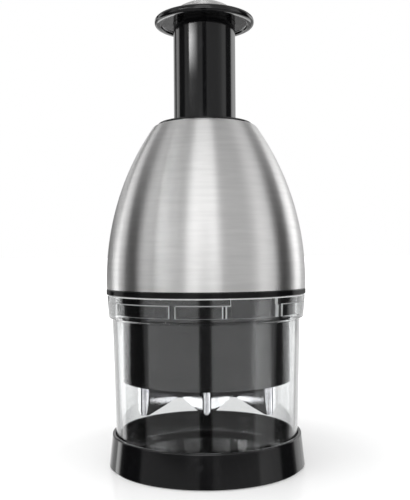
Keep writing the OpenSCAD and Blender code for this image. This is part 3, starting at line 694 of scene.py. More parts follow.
def soft_rubber(looks):
    """Matt rubber of the foot ring."""
    finish = Finish("soft_foot_rubber")
    skin = finish.group("moulded_skin", moulded_group, Grain_Scale=1600.0, Grain=0.8)
    marks = finish.group("handling_marks", scuff_group)
    dust = finish.build.spread(marks["Smears"], 0.4, 0.9, 0.0, 1.0)
    finish.vary_colour(dust, opaque(looks.rubber), shaded(looks.rubber, 2.2))
    finish.vary_roughness(marks["Smears"], 0.65, 0.85)
    finish.bump(skin["Height"], strength=0.3, distance=0.0003)
    return finish.material


def inner_black(looks):
    """Black satin plastic of the hidden mouldings."""
    return satin_plastic("satin_inner_plastic", looks.inner_plastic, 0.42)


def pale_acetal(looks):
    """Pale bearing plastic."""
    return satin_plastic("pale_bearing_plastic", looks.white_plastic, 0.38)


# Makers of the finishes, by the record's slots
MAKERS = {
    "black_gloss": black_gloss,
    "inner_black": inner_black,
    "white_acetal": pale_acetal,
    "brushed_shell": brushed_shell,
    "blade_steel": blade_metal,
    "screw_steel": bright_steel,
    "clear_plastic": clear_plastic,
    "soft_rubber": soft_rubber,
}
FINISHES = {}


def finish_for(slot):
    """The material of a slot, made on its first use."""
    if slot not in FINISHES:
        FINISHES[slot] = MAKERS[slot](bpy.context.scene.chopper_finish)
    return FINISHES[slot]


# Pieces

class BaseTray(bpy.types.Operator):
    """Flared black tray with a ledge for the cup, and the soft ring under it"""
    bl_idname = "chopper.base_tray"
    bl_label = "Base Tray"

    def execute(self, context):
        """Turns the tray and the ring."""
        sizes = context.scene.chopper_sizes
        low = node_low("base_tray")
        rim = node_high("base_tray")
        ring_out = node_radius("foot_ring")
        ring_in = ring_out - sizes.foot_ring_width
        gap = sizes.groove_gap
        groove = low + sizes.groove_depth
        rounded_piece("tray", [
            (0.0, low), (ring_in - gap, low), (ring_in - gap, groove), (ring_out + gap, groove),
            (ring_out + gap, low), (node_radius("base_tray"), low, SOFT),
            (sizes.tray_rim_radius, rim, SOFT), (sizes.tray_bore_radius, rim, SLIGHT),
            (sizes.tray_seat_radius, sizes.tray_seat_height, SLIGHT),
            (sizes.tray_ledge_radius, sizes.tray_seat_height, FINE),
            (sizes.tray_floor_radius, sizes.tray_floor_height, SOFT), (0.0, sizes.tray_floor_height),
        ], BASE, "black_gloss", "base_tray")
        ring_high = node_high("foot_ring")
        ring_low = node_low("foot_ring")
        rounded_piece("soft_ring", [
            (ring_in, ring_low, FINE), (ring_out, ring_low, FINE), (ring_out, ring_high, CRISP),
            (ring_in, ring_high, CRISP),
        ], BASE, "soft_rubber", "foot_ring")
        return {"FINISHED"}


# Share of a face's normal that has to point sideways or upright on the channel's matt walls
FROSTED_LEAN = 0.3
# Width and depth of the matt upper edge of the cup
FROSTED_WIDTH = 0.0006
FROSTED_DEPTH = 0.0004


class ClearCup(bpy.types.Operator):
    """Clear tapered cup whose collar holds the bayonet channel"""
    bl_idname = "chopper.clear_cup"
    bl_label = "Clear Cup"

    def collar(self, sizes, depth, ceiling):
        """Inner points of the collar where the channel reaches a radius, under a claw or in a gap."""
        high = node_high("clear_cup")
        claw = sizes.claw_radius if ceiling else depth
        bevel = min(sizes.claw_bevel, depth - claw)
        return [(claw, high), (claw, sizes.channel_high + sizes.claw_bevel),
                (claw + bevel, sizes.channel_high), (depth, sizes.channel_high),
                (depth, sizes.channel_low), (sizes.claw_radius, sizes.channel_low)]

    def profile(self, sizes, depth, ceiling):
        """The whole outline of the cup at one angle."""
        low = node_low("clear_cup")
        high = node_high("clear_cup")
        outside = rounded([
            (sizes.cup_neck_bore, sizes.step_low), (sizes.cup_foot_bore, low, EASED),
            (sizes.cup_foot_radius, low, SOFT), (sizes.cup_neck_radius, sizes.collar_low, SLIGHT),
            (sizes.collar_foot_radius, sizes.collar_step, SLIGHT),
            (node_radius("clear_cup"), high, SOFT), (sizes.claw_radius, high),
        ], sizes.arc_steps)
        return outside[1:-1] + self.collar(sizes, depth, ceiling) + [
            (sizes.claw_radius, sizes.step_low), (sizes.cup_neck_bore, sizes.step_low)]

    def execute(self, context):
        """Turns the cup through its stretches of claw, entry gap, channel and wall."""
        sizes = context.scene.chopper_sizes
        lean = sizes.wall_lean / 2
        slope = sizes.rib_slope / 2
        stretches = [
            (sizes.stop_start + lean, sizes.rib_start - slope, sizes.channel_radius, True),
            (sizes.rib_start + slope, sizes.rib_end - slope, sizes.entry_radius, True),
            (sizes.rib_end + slope, sizes.entry_start - lean, sizes.channel_radius, True),
            (sizes.entry_start + lean, sizes.entry_end - lean, sizes.entry_radius, False),
            (sizes.entry_end + lean, sizes.wall_start - lean, sizes.channel_radius, True),
            (sizes.wall_start + lean, sizes.hollow_start - lean, sizes.claw_radius, True),
            (sizes.hollow_start + lean, sizes.hollow_end - lean, sizes.channel_radius, True),
            (sizes.hollow_end + lean, sizes.stop_start + THIRD - lean, sizes.claw_radius, True),
        ]
        step = 2 * math.pi / sizes.turn_steps
        rings = []
        for turn in range(LUG_COUNT):
            for start, end, depth, ceiling in stretches:
                outline = self.profile(sizes, depth, ceiling)
                span = end - start
                count = max(1, math.ceil(span / step))
                rings += [(spot, outline) for spot in even_turns(turn * THIRD + start, span, count)]
        mesh = ring_piece("cup_clear", rings, CUP, "clear_plastic", "clear_cup").data
        # The channel's walls and the collar's upper edge take the frosted finish with its painted glow
        mesh.materials.append(frosted_edge_painted_glow(context.scene.chopper_finish))
        rim_radius = node_radius("clear_cup") - FROSTED_WIDTH
        rim_low = node_high("clear_cup") - FROSTED_DEPTH
        for face in mesh.polygons:
            if self.is_frosted(sizes, face, rim_radius, rim_low):
                face.material_index = 1
        return {"FINISHED"}

    def is_frosted(self, sizes, face, rim_radius, rim_low):
        """Whether a face is a wall, floor or bevel of the channel, or the collar's upper edge."""
        spot = face.center
        radius = math.hypot(spot.x, spot.y)
        sideways = abs(face.normal.y * spot.x - face.normal.x * spot.y) / radius
        if sizes.claw_radius < radius < sizes.channel_radius and spot.z > sizes.step_low:
            level = abs(face.normal.z) > FROSTED_LEAN and spot.z < sizes.channel_high + sizes.claw_bevel
            return sideways > FROSTED_LEAN or level
        return radius > rim_radius and spot.z > rim_low


# Turn and depth of the slope at a lug's two ends
LUG_SLOPE = math.radians(0.35)
LUG_EASE = 0.0003


class BayonetRing(bpy.types.Operator):
    """Black band with the skirt and lugs that lock the head on the cup"""
    bl_idname = "chopper.bayonet_ring"
    bl_label = "Bayonet Ring"

    def profile(self, sizes, reach):
        """The ring's outline where its lug reaches a radius."""
        low = node_low("bayonet_ring")
        high = node_high("bayonet_ring")
        band = rounded([
            (sizes.skirt_radius, sizes.band_low), (node_radius("bayonet_ring"), sizes.band_low, FINE),
            (node_radius("bayonet_ring"), high, FINE), (sizes.skirt_bore, high)], sizes.arc_steps)
        return [(sizes.skirt_bore, low), (sizes.skirt_radius, low), (reach, low), (reach, sizes.lug_high),
                (sizes.skirt_radius, sizes.lug_high)] + band

    def execute(self, context):
        """Turns the ring through its plain stretches and its lugs."""
        sizes = context.scene.chopper_sizes
        plain = self.profile(sizes, sizes.skirt_radius)
        raised = self.profile(sizes, sizes.lug_radius)
        eased = self.profile(sizes, sizes.lug_radius - LUG_EASE)
        step = 2 * math.pi / sizes.turn_steps
        rings = []
        for turn in range(LUG_COUNT):
            start = turn * THIRD + sizes.lug_start
            end = turn * THIRD + sizes.lug_end
            span = end - start
            rest = THIRD - span
            lug = even_turns(start + LUG_SLOPE, span - 2 * LUG_SLOPE, math.ceil(span / step))
            skirt = even_turns(end, rest, math.ceil(rest / step))
            rings += [(start, plain), (start, eased)]
            rings += [(spot, raised) for spot in lug]
            rings.append((end, eased))
            rings += [(spot, plain) for spot in skirt[:-1]]
        ring_piece("bayonet_band", rings, HEAD, "black_gloss", "bayonet_ring")
        return {"FINISHED"}


class BladeGuard(bpy.types.Operator):
    """Dark tube that hangs round the blade"""
    bl_idname = "chopper.blade_guard"
    bl_label = "Blade Guard"

    def execute(self, context):
        """Turns the guard."""
        sizes = context.scene.chopper_sizes
        low = node_low("blade_guard")
        high = node_high("blade_guard")
        flange = node_radius("blade_guard")
        rounded_piece("guard_tube", [
            (sizes.guard_lip_bore, low, SLIGHT), (sizes.guard_radius, low, SOFT),
            (sizes.guard_radius, sizes.guard_flange_low), (flange, sizes.guard_flange_low, FINE),
            (flange, high, FINE), (sizes.guard_bore, high, FINE),
            (sizes.guard_bore, sizes.guard_lip_high), (sizes.guard_lip_bore, sizes.guard_lip_high, FINE),
        ], HEAD, "black_gloss", "blade_guard")
        return {"FINISHED"}


# Faces along the dome's lower arc, upper arc and rolled edge, and along the knob's cap
FOOT_STEPS = 24
UPPER_STEPS = 48
ROLL_STEPS = 8
CAP_STEPS = 32


class SteelShell(bpy.types.Operator):
    """Brushed dome of one sheet, rolled in at the top"""
    bl_idname = "chopper.steel_shell"
    bl_label = "Steel Shell"

    def execute(self, context):
        """Turns the dome from two arcs that run into each other and a rolled edge."""
        sizes = context.scene.chopper_sizes
        low = node_low("steel_shell")
        high = node_high("steel_shell")
        arc = sizes.shell_arc_radius
        curl = sizes.shell_curl
        sheet = sizes.shell_sheet
        centre = (node_radius("steel_shell") - arc, sizes.shell_wide_height)
        joint = math.asin((low + sizes.shell_joint * (high - low) - centre[1]) / arc)
        slope = (math.cos(joint), math.sin(joint))
        roll = (sizes.shell_opening, high - curl)
        reach = (roll[0] - centre[0] - arc * slope[0], roll[1] - centre[1] - arc * slope[1])
        spare = reach[0] * slope[0] + reach[1] * slope[1] + curl
        upper = (curl ** 2 - reach[0] ** 2 - reach[1] ** 2) / (2 * spare)
        upper_centre = (centre[0] + (arc - upper) * slope[0], centre[1] + (arc - upper) * slope[1])
        top = math.atan2(roll[1] - upper_centre[1], roll[0] - upper_centre[0])
        outer_foot = math.asin((low - centre[1]) / arc)
        inner_foot = math.asin((low - centre[1]) / (arc - sheet))
        profile = arc_points(centre, arc, outer_foot, joint, FOOT_STEPS)
        profile += arc_points(upper_centre, upper, joint, top, UPPER_STEPS)[1:]
        profile += arc_points(roll, curl, top, math.pi / 2, ROLL_STEPS)[1:]
        profile += arc_points(roll, curl - sheet, math.pi / 2, top, ROLL_STEPS)
        profile += arc_points(upper_centre, upper - sheet, top, joint, UPPER_STEPS)[1:]
        profile += arc_points(centre, arc - sheet, joint, inner_foot, FOOT_STEPS)[1:]
        turned_piece("shell_dome", profile, HEAD, "brushed_shell", "steel_shell")
        return {"FINISHED"}


class TopBush(bpy.types.Operator):
    """Black bush between the dome and the stem"""
    bl_idname = "chopper.top_bush"
    bl_label = "Top Bush"

    def execute(self, context):
        """Turns the bush."""
        sizes = context.scene.chopper_sizes
        low = node_low("top_bush")
        high = node_high("top_bush")
        flange = node_radius("top_bush")
        body = flange - sizes.bush_lip
        under = high - sizes.bush_flange
        rounded_piece("stem_bush", [
            (sizes.bush_bore, low, FINE), (body, low, FINE), (body, under), (flange, under, FINE),
            (flange, high, FULL), (sizes.bush_bore, high, SOFT),
        ], HEAD, "black_gloss", "top_bush")
        return {"FINISHED"}


# How far the knob's rim stands above the cap's edge, and how far its lip slopes
RIM_RISE = 0.0004
LIP_SLOPE = 0.0005


class Plunger(bpy.types.Operator):
    """Stem, knob and steel cap"""
    bl_idname = "chopper.plunger"
    bl_label = "Plunger"

    def execute(self, context):
        """Turns the three pieces that the palm presses."""
        sizes = context.scene.chopper_sizes
        low = node_low("plunger_stem")
        high = node_high("plunger_stem")
        bore = sizes.stem_bore
        web_low = sizes.web_low
        web_high = web_low + sizes.web_thickness
        rounded_piece("stem_tube", [
            (bore, low, FINE), (sizes.stem_radius, low, SLIGHT), (sizes.stem_radius, high, CRISP),
            (bore, high, CRISP), (bore, web_high, SOFT), (sizes.web_bore, web_high, FINE),
            (sizes.web_bore, web_low, FINE), (bore, web_low, SOFT),
        ], PLUNGER, "black_gloss", "plunger_stem")
        under = node_low("knob")
        rim = node_low("knob_cap") + RIM_RISE
        outside = node_radius("knob")
        dish = under + sizes.knob_dish
        floor_low = high + sizes.groove_gap
        floor_high = floor_low + sizes.knob_floor
        seat = node_low("knob_cap") - sizes.groove_gap
        round_rim = (rim - under) / 2
        inner = outside - sizes.knob_lip
        cap_bore = sizes.cap_radius + sizes.groove_gap
        raised = sizes.cap_radius - sizes.knob_ledge
        shoulder = raised - sizes.knob_shoulder
        rounded_piece("palm_knob", [
            (0.0, floor_low), (sizes.knob_socket, floor_low), (sizes.knob_socket, dish, CRISP),
            (inner, dish, SLIGHT), (inner + LIP_SLOPE, under, FINE), (outside, under, round_rim),
            (outside, rim, round_rim), (cap_bore, rim, FINE), (cap_bore, seat), (raised, seat, FINE),
            (shoulder, floor_high, FINE), (0.0, floor_high),
        ], PLUNGER, "black_gloss", "knob")
        crown = node_high("knob_cap")
        edge = node_low("knob_cap")
        ball = (sizes.cap_radius ** 2 + (crown - edge) ** 2) / (2 * (crown - edge))
        centre = (0.0, crown - ball)
        outer_edge = math.acos(sizes.cap_radius / ball)
        inner_ball = ball - sizes.cap_sheet
        inner_edge = math.asin((edge - centre[1]) / inner_ball)
        profile = arc_points(centre, ball, outer_edge, math.pi / 2, CAP_STEPS)
        profile += arc_points(centre, inner_ball, math.pi / 2, inner_edge, CAP_STEPS)
        turned_piece("knob_dome", profile, PLUNGER, "brushed_shell", "knob_cap")
        return {"FINISHED"}


# Geometry node pieces

# Faces round a fold of the blade, round the spring's wire and round a screw
FOLD_STEPS = 20
WIRE_STEPS = 12
SCREW_STEPS = 24
# Share of the blade's thickness that is left at its ground edge
EDGE_SHARE = 0.2


def geometry_tree(name, inputs):
    """A geometry node tree with named inputs, given with their defaults."""
    tree = bpy.data.node_groups.new(name, "GeometryNodeTree")
    tree.interface.new_socket(name="Geometry", in_out="INPUT", socket_type="NodeSocketGeometry")
    add_inputs(tree, inputs)
    tree.interface.new_socket(name="Geometry", in_out="OUTPUT", socket_type="NodeSocketGeometry")
    build = Tree(tree)
    return build, build.node("NodeGroupInput"), build.node("NodeGroupOutput")


def grown_mesh(name, tree, values):
    """The plain mesh that a geometry node tree makes with some input values."""
    holder = bpy.data.objects.new(name + "_holder", bpy.data.meshes.new(name + "_start"))
    bpy.context.scene.collection.objects.link(holder)
    modifier = holder.modifiers.new(name, "NODES")
    modifier.node_group = tree
    for item in tree.interface.items_tree:
        if item.item_type == "SOCKET" and item.in_out == "INPUT" and item.name in values:
            modifier[item.identifier] = values[item.name]
    holder.update_tag()
    graph = bpy.context.evaluated_depsgraph_get()
    mesh = bpy.data.meshes.new_from_object(holder.evaluated_get(graph))
    mesh.name = name
    holder.modifiers.remove(modifier)
    bpy.data.objects.remove(holder)
    if not mesh.polygons:
        raise RuntimeError(name + " came out empty")
    return mesh


def finish_tree(build, result, geometry, material):
    """Ends a tree in Realize Instances and Set Material."""
    real = build.node("GeometryNodeRealizeInstances")
    build.feed(real.inputs[0], geometry)
    painted = build.node("GeometryNodeSetMaterial")
    build.feed(painted.inputs["Geometry"], real.outputs[0])
    painted.inputs["Material"].default_value = material
    build.feed(result.inputs[0], painted.outputs[0])


def swept_mesh(build, path, section):
    """A closed mesh from a section swept along a path."""
    swept = build.node("GeometryNodeCurveToMesh")
    build.feed(swept.inputs["Curve"], path)
    build.feed(swept.inputs["Profile Curve"], section)
    swept.inputs["Fill Caps"].default_value = True
    return swept.outputs[0]


def point_curve(build, count, position, closed=False):
    """A poly curve through a number of points placed by a position field."""
    line = build.node("GeometryNodeMeshLine")
    build.feed(line.inputs["Count"], count)
    moved = build.node("GeometryNodeSetPosition")
    build.feed(moved.inputs["Geometry"], line.outputs[0])
    build.feed(moved.inputs["Position"], position)
    curve = build.node("GeometryNodeMeshToCurve")
    build.feed(curve.inputs[0], moved.outputs[0])
    if not closed:
        return curve.outputs[0]
    ring = build.node("GeometryNodeSetSplineCyclic")
    build.feed(ring.inputs[0], curve.outputs[0])
    ring.inputs["Cyclic"].default_value = True
    return ring.outputs[0]


def listed_points(build, points):
    """A position field that takes the points in order."""
    switch = build.node("GeometryNodeIndexSwitch", data_type="VECTOR")
    while len(switch.index_switch_items) < len(points):
        switch.index_switch_items.new()
    build.feed(switch.inputs["Index"], build.node("GeometryNodeInputIndex").outputs[0])
    for index, point in enumerate(points):
        build.feed(switch.inputs[index + 1], build.combine(*point))
    return switch.outputs[0]


def listed_curve(build, points, closed=False):
    """A poly curve through listed points."""
    return point_curve(build, len(points), listed_points(build, points), closed)


def zigzag_tree(material):
    """A strip with a ground lower edge, swept along a zigzag with round folds."""
    build, given, result = geometry_tree("zigzag_strip", {
        "Half Width": 0.03, "Corner Depth": 0.03, "Tail Across": 0.03, "Tail Along": 0.03,
        "Fold Radius": 0.002, "Strip": 0.001, "Edge Height": 0.03, "Top Height": 0.07, "Bevel": 0.002})
    wide = given.outputs["Half Width"]
    deep = given.outputs["Corner Depth"]
    tail_x = given.outputs["Tail Across"]
    tail_y = given.outputs["Tail Along"]
    half = build.times(wide, 0.5)
    front = build.times(deep, -1.0)
    path = listed_curve(build, [
        (build.times(tail_x, -1.0), tail_y, 0.0),
        (build.times(wide, -1.0), front, 0.0),
        (build.times(half, -1.0), deep, 0.0),
        (0.0, front, 0.0),
        (half, deep, 0.0),
        (wide, front, 0.0),
        (tail_x, tail_y, 0.0)])
    folded = build.node("GeometryNodeFilletCurve", mode="POLY")
    build.feed(folded.inputs["Curve"], path)
    folded.inputs["Count"].default_value = FOLD_STEPS
    build.feed(folded.inputs["Radius"], given.outputs["Fold Radius"])
    upright = build.node("GeometryNodeSetCurveNormal", mode="Z_UP")
    build.feed(upright.inputs["Curve"], folded.outputs[0])
    side = build.times(given.outputs["Strip"], 0.5)
    other = build.times(side, -1.0)
    thin = build.times(side, EDGE_SHARE)
    thin_other = build.times(thin, -1.0)
    # The sweep lays the section's second axis downward, so heights enter it with the other sign
    edge = build.times(given.outputs["Edge Height"], -1.0)
    top = build.times(given.outputs["Top Height"], -1.0)
    ground = build.minus(edge, given.outputs["Bevel"])
    section = listed_curve(build, [
        (other, top, 0.0), (other, ground, 0.0), (thin_other, edge, 0.0),
        (thin, edge, 0.0), (side, ground, 0.0), (side, top, 0.0)], closed=True)
    finish_tree(build, result, swept_mesh(build, upright.outputs[0], section), material)
    return build.tree


class ZigzagBlade(bpy.types.Operator):
    """One bent strip of steel, ground along its lower edge"""
    bl_idname = "chopper.zigzag_blade"
    bl_label = "Zigzag Blade"

    def execute(self, context):
        """Sweeps the strip along its folds."""
        sizes = context.scene.chopper_sizes
        step = sizes.blade_half_width / 2
        depth = 2 * sizes.blade_half_depth
        lean = math.atan(step / depth) - math.asin(2 * sizes.blade_fold / math.hypot(step, depth))
        corner = sizes.blade_half_depth + sizes.blade_fold / math.sin(lean)
        start = (sizes.blade_half_width + sizes.blade_fold * math.cos(lean),
                 -sizes.blade_half_depth + sizes.blade_fold * math.sin(lean))
        tail = (start[0] + sizes.blade_tail * math.sin(lean), start[1] + sizes.blade_tail * math.cos(lean))
        material = finish_for("blade_steel")
        mesh = grown_mesh("zigzag", zigzag_tree(material), {
            "Half Width": sizes.blade_half_width, "Corner Depth": corner,
            "Tail Across": tail[0], "Tail Along": tail[1], "Fold Radius": sizes.blade_fold,
            "Strip": sizes.blade_strip, "Edge Height": node_low("zigzag_blade"),
            "Top Height": node_high("zigzag_blade"), "Bevel": sizes.blade_bevel})
        smooth(mesh, degrees=20.0)
        place("zigzag_knife", mesh, BLADE, "blade_steel", "zigzag_blade")
        return {"FINISHED"}


def spring_tree(material):
    """One wire wound in a coil with flat end turns."""
    build, given, result = geometry_tree("return_coil", {
        "Radius": 0.01, "Wire": 0.001, "Low": 0.1, "High": 0.2, "End Rise": 0.002, "Turns": 10,
        "Steps": 48})
    turns = given.outputs["Turns"]
    count = build.plus(build.times(turns, given.outputs["Steps"]), 1.0)
    index = build.node("GeometryNodeInputIndex").outputs[0]
    turn = build.math("DIVIDE", index, given.outputs["Steps"])
    rise = given.outputs["End Rise"]
    middle_turns = build.minus(turns, 2.0)
    height = build.minus(given.outputs["High"], given.outputs["Low"])
    middle_height = build.minus(height, build.times(rise, 2.0))
    first = build.times(build.math("MINIMUM", turn, 1.0), rise)
    after_first = build.minus(turn, 1.0)
    inner = build.math("MINIMUM", build.math("MAXIMUM", after_first, 0.0), middle_turns)
    middle = build.times(build.math("DIVIDE", inner, middle_turns), middle_height)
    past = build.minus(after_first, middle_turns)
    last = build.times(build.math("MAXIMUM", past, 0.0), rise)
    level = build.plus(build.plus(first, middle), build.plus(last, given.outputs["Low"]))
    round_angle = build.times(turn, 2 * math.pi)
    across = build.times(build.math("COSINE", round_angle), given.outputs["Radius"])
    along = build.times(build.math("SINE", round_angle), given.outputs["Radius"])
    path = point_curve(build, count, build.combine(across, along, level))
    ring = build.node("GeometryNodeCurvePrimitiveCircle")
    ring.inputs["Resolution"].default_value = WIRE_STEPS
    build.feed(ring.inputs["Radius"], build.times(given.outputs["Wire"], 0.5))
    finish_tree(build, result, swept_mesh(build, path, ring.outputs[0]), material)
    return build.tree


class ReturnSpring(bpy.types.Operator):
    """Coil that lifts the plunger again"""
    bl_idname = "chopper.return_spring"
    bl_label = "Return Spring"

    def execute(self, context):
        """Winds the coil."""
        sizes = context.scene.chopper_sizes
        low = node_low("return_spring")
        high = node_high("return_spring")
        material = finish_for("screw_steel")
        half_wire = sizes.spring_wire / 2
        mesh = grown_mesh("coil", spring_tree(material), {
            "Radius": node_radius("return_spring") - half_wire, "Wire": sizes.spring_wire,
            "Low": low + half_wire, "High": high - half_wire,
            "End Rise": sizes.spring_wire + sizes.spring_gap, "Turns": sizes.spring_turns})
        smooth(mesh, degrees=50.0)
        coil = place("return_coil", mesh, HEAD, "screw_steel", "return_spring")
        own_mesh(coil)
        return {"FINISHED"}


# A round screw head's outline, from its crown to its seat: shares of its radius and height
SCREW_HEAD_OUTLINE = ((0.0, 1.0), (0.55, 1.0), (0.9, 0.72), (1.0, 0.3), (1.0, 0.0))
# A shank's core and the pitch of its ridges: shares of its radius
CORE_SHARE = 0.8
PITCH_SHARE = 0.8
# A head's cross: shares of the head's radius, and half an arm's angle in degrees
CROSS_DEPTH = 0.35
CROSS_EDGE = 0.02
CROSS_HALF_ANGLE = 16.0
QUARTER_TURN = 90.0


def screw_mesh(name, radius, head_radius, head_height, reach, head_up):
    """One tapping screw with its head's seat at height 0: a round head, a cross and a ridged shank."""
    side = 1.0 if head_up else -1.0
    core = radius * CORE_SHARE
    pitch = radius * PITCH_SHARE
    ridges = max(2, int(reach / pitch) - 1)
    corners = [(head_radius * out, side * head_height * up) for out, up in SCREW_HEAD_OUTLINE]
    corners.append((core, 0.0))
    for ridge in range(ridges):
        depth = -side * (ridge + 0.5) * pitch
        corners += [(core, depth), (radius, depth - side * pitch * 0.5)]
    corners += [(core, -side * (ridges + 0.5) * pitch), (0.0, -side * reach)]
    mesh = turned_mesh(name, turned_rings(corners, SCREW_STEPS))
    build = bmesh.new()
    build.from_mesh(mesh)
    cut_cross(build, head_radius, side * head_height)
    build.to_mesh(mesh)
    build.free()
    return mesh


def cut_cross(build, head_radius, top):
    """Sinks a cross into the flat of a screw's head."""
    crown = [face for face in build.faces if all(abs(vert.co.z - top) < WELD for vert in face.verts)]
    arms = [face for face in crown if is_cross_arm(face.calc_center_median())]
    if not arms:
        raise RuntimeError("a screw's head has no flat for its cross")
    bmesh.ops.inset_region(build, faces=arms, thickness=head_radius * CROSS_EDGE, depth=0.0)
    depth = math.copysign(head_radius * CROSS_DEPTH, top)
    for vert in {vert for face in arms for vert in face.verts}:
        vert.co.z -= depth
    bmesh.ops.recalc_face_normals(build, faces=build.faces)


def is_cross_arm(spot):
    """Whether a place on a screw's head lies near one of the four arms of its cross."""
    turn = math.degrees(math.atan2(spot.y, spot.x)) % QUARTER_TURN
    return min(turn, QUARTER_TURN - turn) < CROSS_HALF_ANGLE


def screws_tree(material):
    """Copies of one screw at even turns round the axis."""
    build, given, result = geometry_tree("screw_circle", {
        "Screw": None, "Count": 3, "Radius": 0.02, "Height": 0.0})
    index = build.node("GeometryNodeInputIndex").outputs[0]
    turn = build.times(build.math("DIVIDE", index, given.outputs["Count"]), 2 * math.pi)
    across = build.times(build.math("COSINE", turn), given.outputs["Radius"])
    along = build.times(build.math("SINE", turn), given.outputs["Radius"])
    points = build.node("GeometryNodePoints")
    build.feed(points.inputs["Count"], given.outputs["Count"])
    build.feed(points.inputs["Position"], build.combine(across, along, given.outputs["Height"]))
    info = build.node("GeometryNodeObjectInfo")
    build.feed(info.inputs["Object"], given.outputs["Screw"])
    copies = build.node("GeometryNodeInstanceOnPoints")
    build.feed(copies.inputs["Points"], points.outputs[0])
    build.feed(copies.inputs["Instance"], info.outputs["Geometry"])
    finish_tree(build, result, copies.outputs[0], material)
    return build.tree


# Screw sets: node, body, screw and head radius, head height, head upward, radius of the circle, count
SCREW_SETS = [
    ("bayonet_screws", HEAD, 0.0012, 0.00185, 0.0014, False, 0.047, 3),
    ("deck_screws", HEAD, 0.0015, 0.0027, 0.0019, False, 0.025, 3),
    ("knob_screws", PLUNGER, 0.0012, 0.00185, 0.0014, True, 0.0113, 3),
    ("carrier_screw", BLADE, 0.0015, 0.0054, 0.0019, False, 0.0, 1),
]


class Screws(bpy.types.Operator):
    """Small tapping screws that hold the pieces together"""
    bl_idname = "chopper.screws"
    bl_label = "Screws"

    def execute(self, context):
        """Sets out each circle of screws."""
        material = finish_for("screw_steel")
        tree = screws_tree(material)
        for node, body, radius, head_radius, head_height, head_up, circle, count in SCREW_SETS:
            low = node_low(node)
            high = node_high(node)
            reach = high - low - head_height
            seat = high - head_height if head_up else low + head_height
            one = screw_mesh(node, radius, head_radius, head_height, reach, head_up)
            screw = bpy.data.objects.new(node + "_one", one)
            context.scene.collection.objects.link(screw)
            mesh = grown_mesh(node + "_set", tree, {
                "Screw": screw, "Count": count, "Radius": circle, "Height": seat})
            bpy.data.objects.remove(screw)
            smooth(mesh, degrees=40.0)
            place(node + "_turned", mesh, body, "screw_steel", node)
        return {"FINISHED"}


class InnerPieces(bpy.types.Operator):
    """Finishes of the CAD pieces that stay as they are"""
    bl_idname = "chopper.inner_pieces"
    bl_label = "Inner Pieces"

    def execute(self, context):
        """Gives each shown CAD node its slot's material."""
        slots = {part["node"]: part["material_slot"] for part in frame["record"]["subparts"]}
        for name, node in frame["nodes"].items():
            if node.hide_render:
                continue
            node.data.materials.clear()
            node.data.materials.append(finish_for(slots[name]))
        return {"FINISHED"}


# Stage

# Brightness of the surroundings that glossy pieces mirror, by degrees round from the camera's side:
# far above eye level, just above it and below it
UPPER_STOPS = [
    (-180.0, 0.25), (-163.0, 0.20), (-157.0, 0.0), (-138.0, 0.0), (-133.0, 0.85), (-122.0, 0.85),
    (-116.0, 0.03), (-86.0, 0.03), (-81.0, 0.92), (-72.0, 0.82), (-66.0, 0.70), (-61.0, 0.54),
    (-57.0, 0.16), (-51.0, 0.16), (-45.0, 0.34), (-34.0, 0.47), (-26.0, 0.64), (-20.0, 1.95), (13.0, 1.95),
    (19.0, 0.70), (44.0, 0.66), (51.0, 0.58), (58.0, 0.60), (65.0, 0.95), (86.0, 0.86), (91.0, 0.0),
    (118.0, 0.0), (124.0, 1.00), (134.0, 0.95), (140.0, 0.35), (180.0, 0.25),
]
MIDDLE_STOPS = [
    (-180.0, 0.60), (-165.0, 0.80), (-143.0, 0.85), (-138.0, 0.05), (-130.0, 0.05), (-126.0, 1.70),
    (-110.0, 1.70), (-105.0, 0.05), (-80.0, 0.05), (-76.0, 0.56), (-9.0, 0.54), (-6.0, 0.02), (6.0, 0.02),
    (9.0, 0.47), (50.0, 0.48), (62.0, 0.62), (72.0, 0.95), (83.0, 0.90), (88.0, 0.06), (113.0, 0.06),
    (119.0, 2.10), (134.0, 1.70), (150.0, 0.90), (180.0, 0.60),
]
LOWER_STOPS = [
    (-180.0, 2.6), (-165.0, 2.5), (-152.0, 1.7), (-144.0, 1.3), (-124.0, 1.2), (-118.0, 0.03), (-83.0, 0.03),
    (-79.0, 1.00), (-10.0, 1.00), (-8.0, 0.12), (5.0, 0.12), (8.0, 1.00), (60.0, 0.98), (63.0, 2.3),
    (70.0, 2.0), (80.0, 1.55), (91.0, 1.25), (95.0, 0.06), (117.0, 0.06), (125.0, 0.7), (144.0, 0.9),
    (152.0, 1.6), (165.0, 2.5), (180.0, 2.6),
]
# Brightness seen straight through the clear cup, by degrees round from the camera's side
BACKDROP_STOPS = [
    (90.0, 0.30), (125.0, 0.40), (150.0, 0.52), (166.0, 0.62), (172.0, 0.76), (177.0, 1.0), (180.0, 1.0),
]
# Soft edges of the patterns, by the height of a direction, from -1 straight down to 1 straight up
LEVEL_STRIP_EDGES = ((-0.03, 0.0), (0.13, 0.16))
UPPER_EDGE = (0.32, 0.36)
LOWER_EDGE = (-0.068, -0.082)
NEAR_EDGE = (0.14, 0.16)
LOW_DOWN_EDGE = (-0.11, -0.13)
DISH_EDGE = (-0.258, -0.268)
LIP_EDGE = (-0.34, -0.37)
BRIGHT_EDGE = (0.16, 0.30)
FADE_EDGE = (0.55, 1.0)
OVERHEAD_EDGE = (0.38, 0.60)
WINDOW_UP_EDGES = ((0.240, 0.282), (0.29, 0.30))
# Soft edges of the panels, by the turn from the camera's side, from -1 to 1 for half a turn each way
LEFT_PANEL_EDGES = ((-0.735, -0.722), (-0.628, -0.615))
RIGHT_PANEL_EDGES = ((0.685, 0.70), (0.76, 0.86))
WINDOW_TURN_EDGES = ((-0.332, -0.318), (-0.31, -0.13))
BEHIND_EDGE = (0.84, 0.90)
FAR_SIDE_EDGE = (0.72, 0.80)
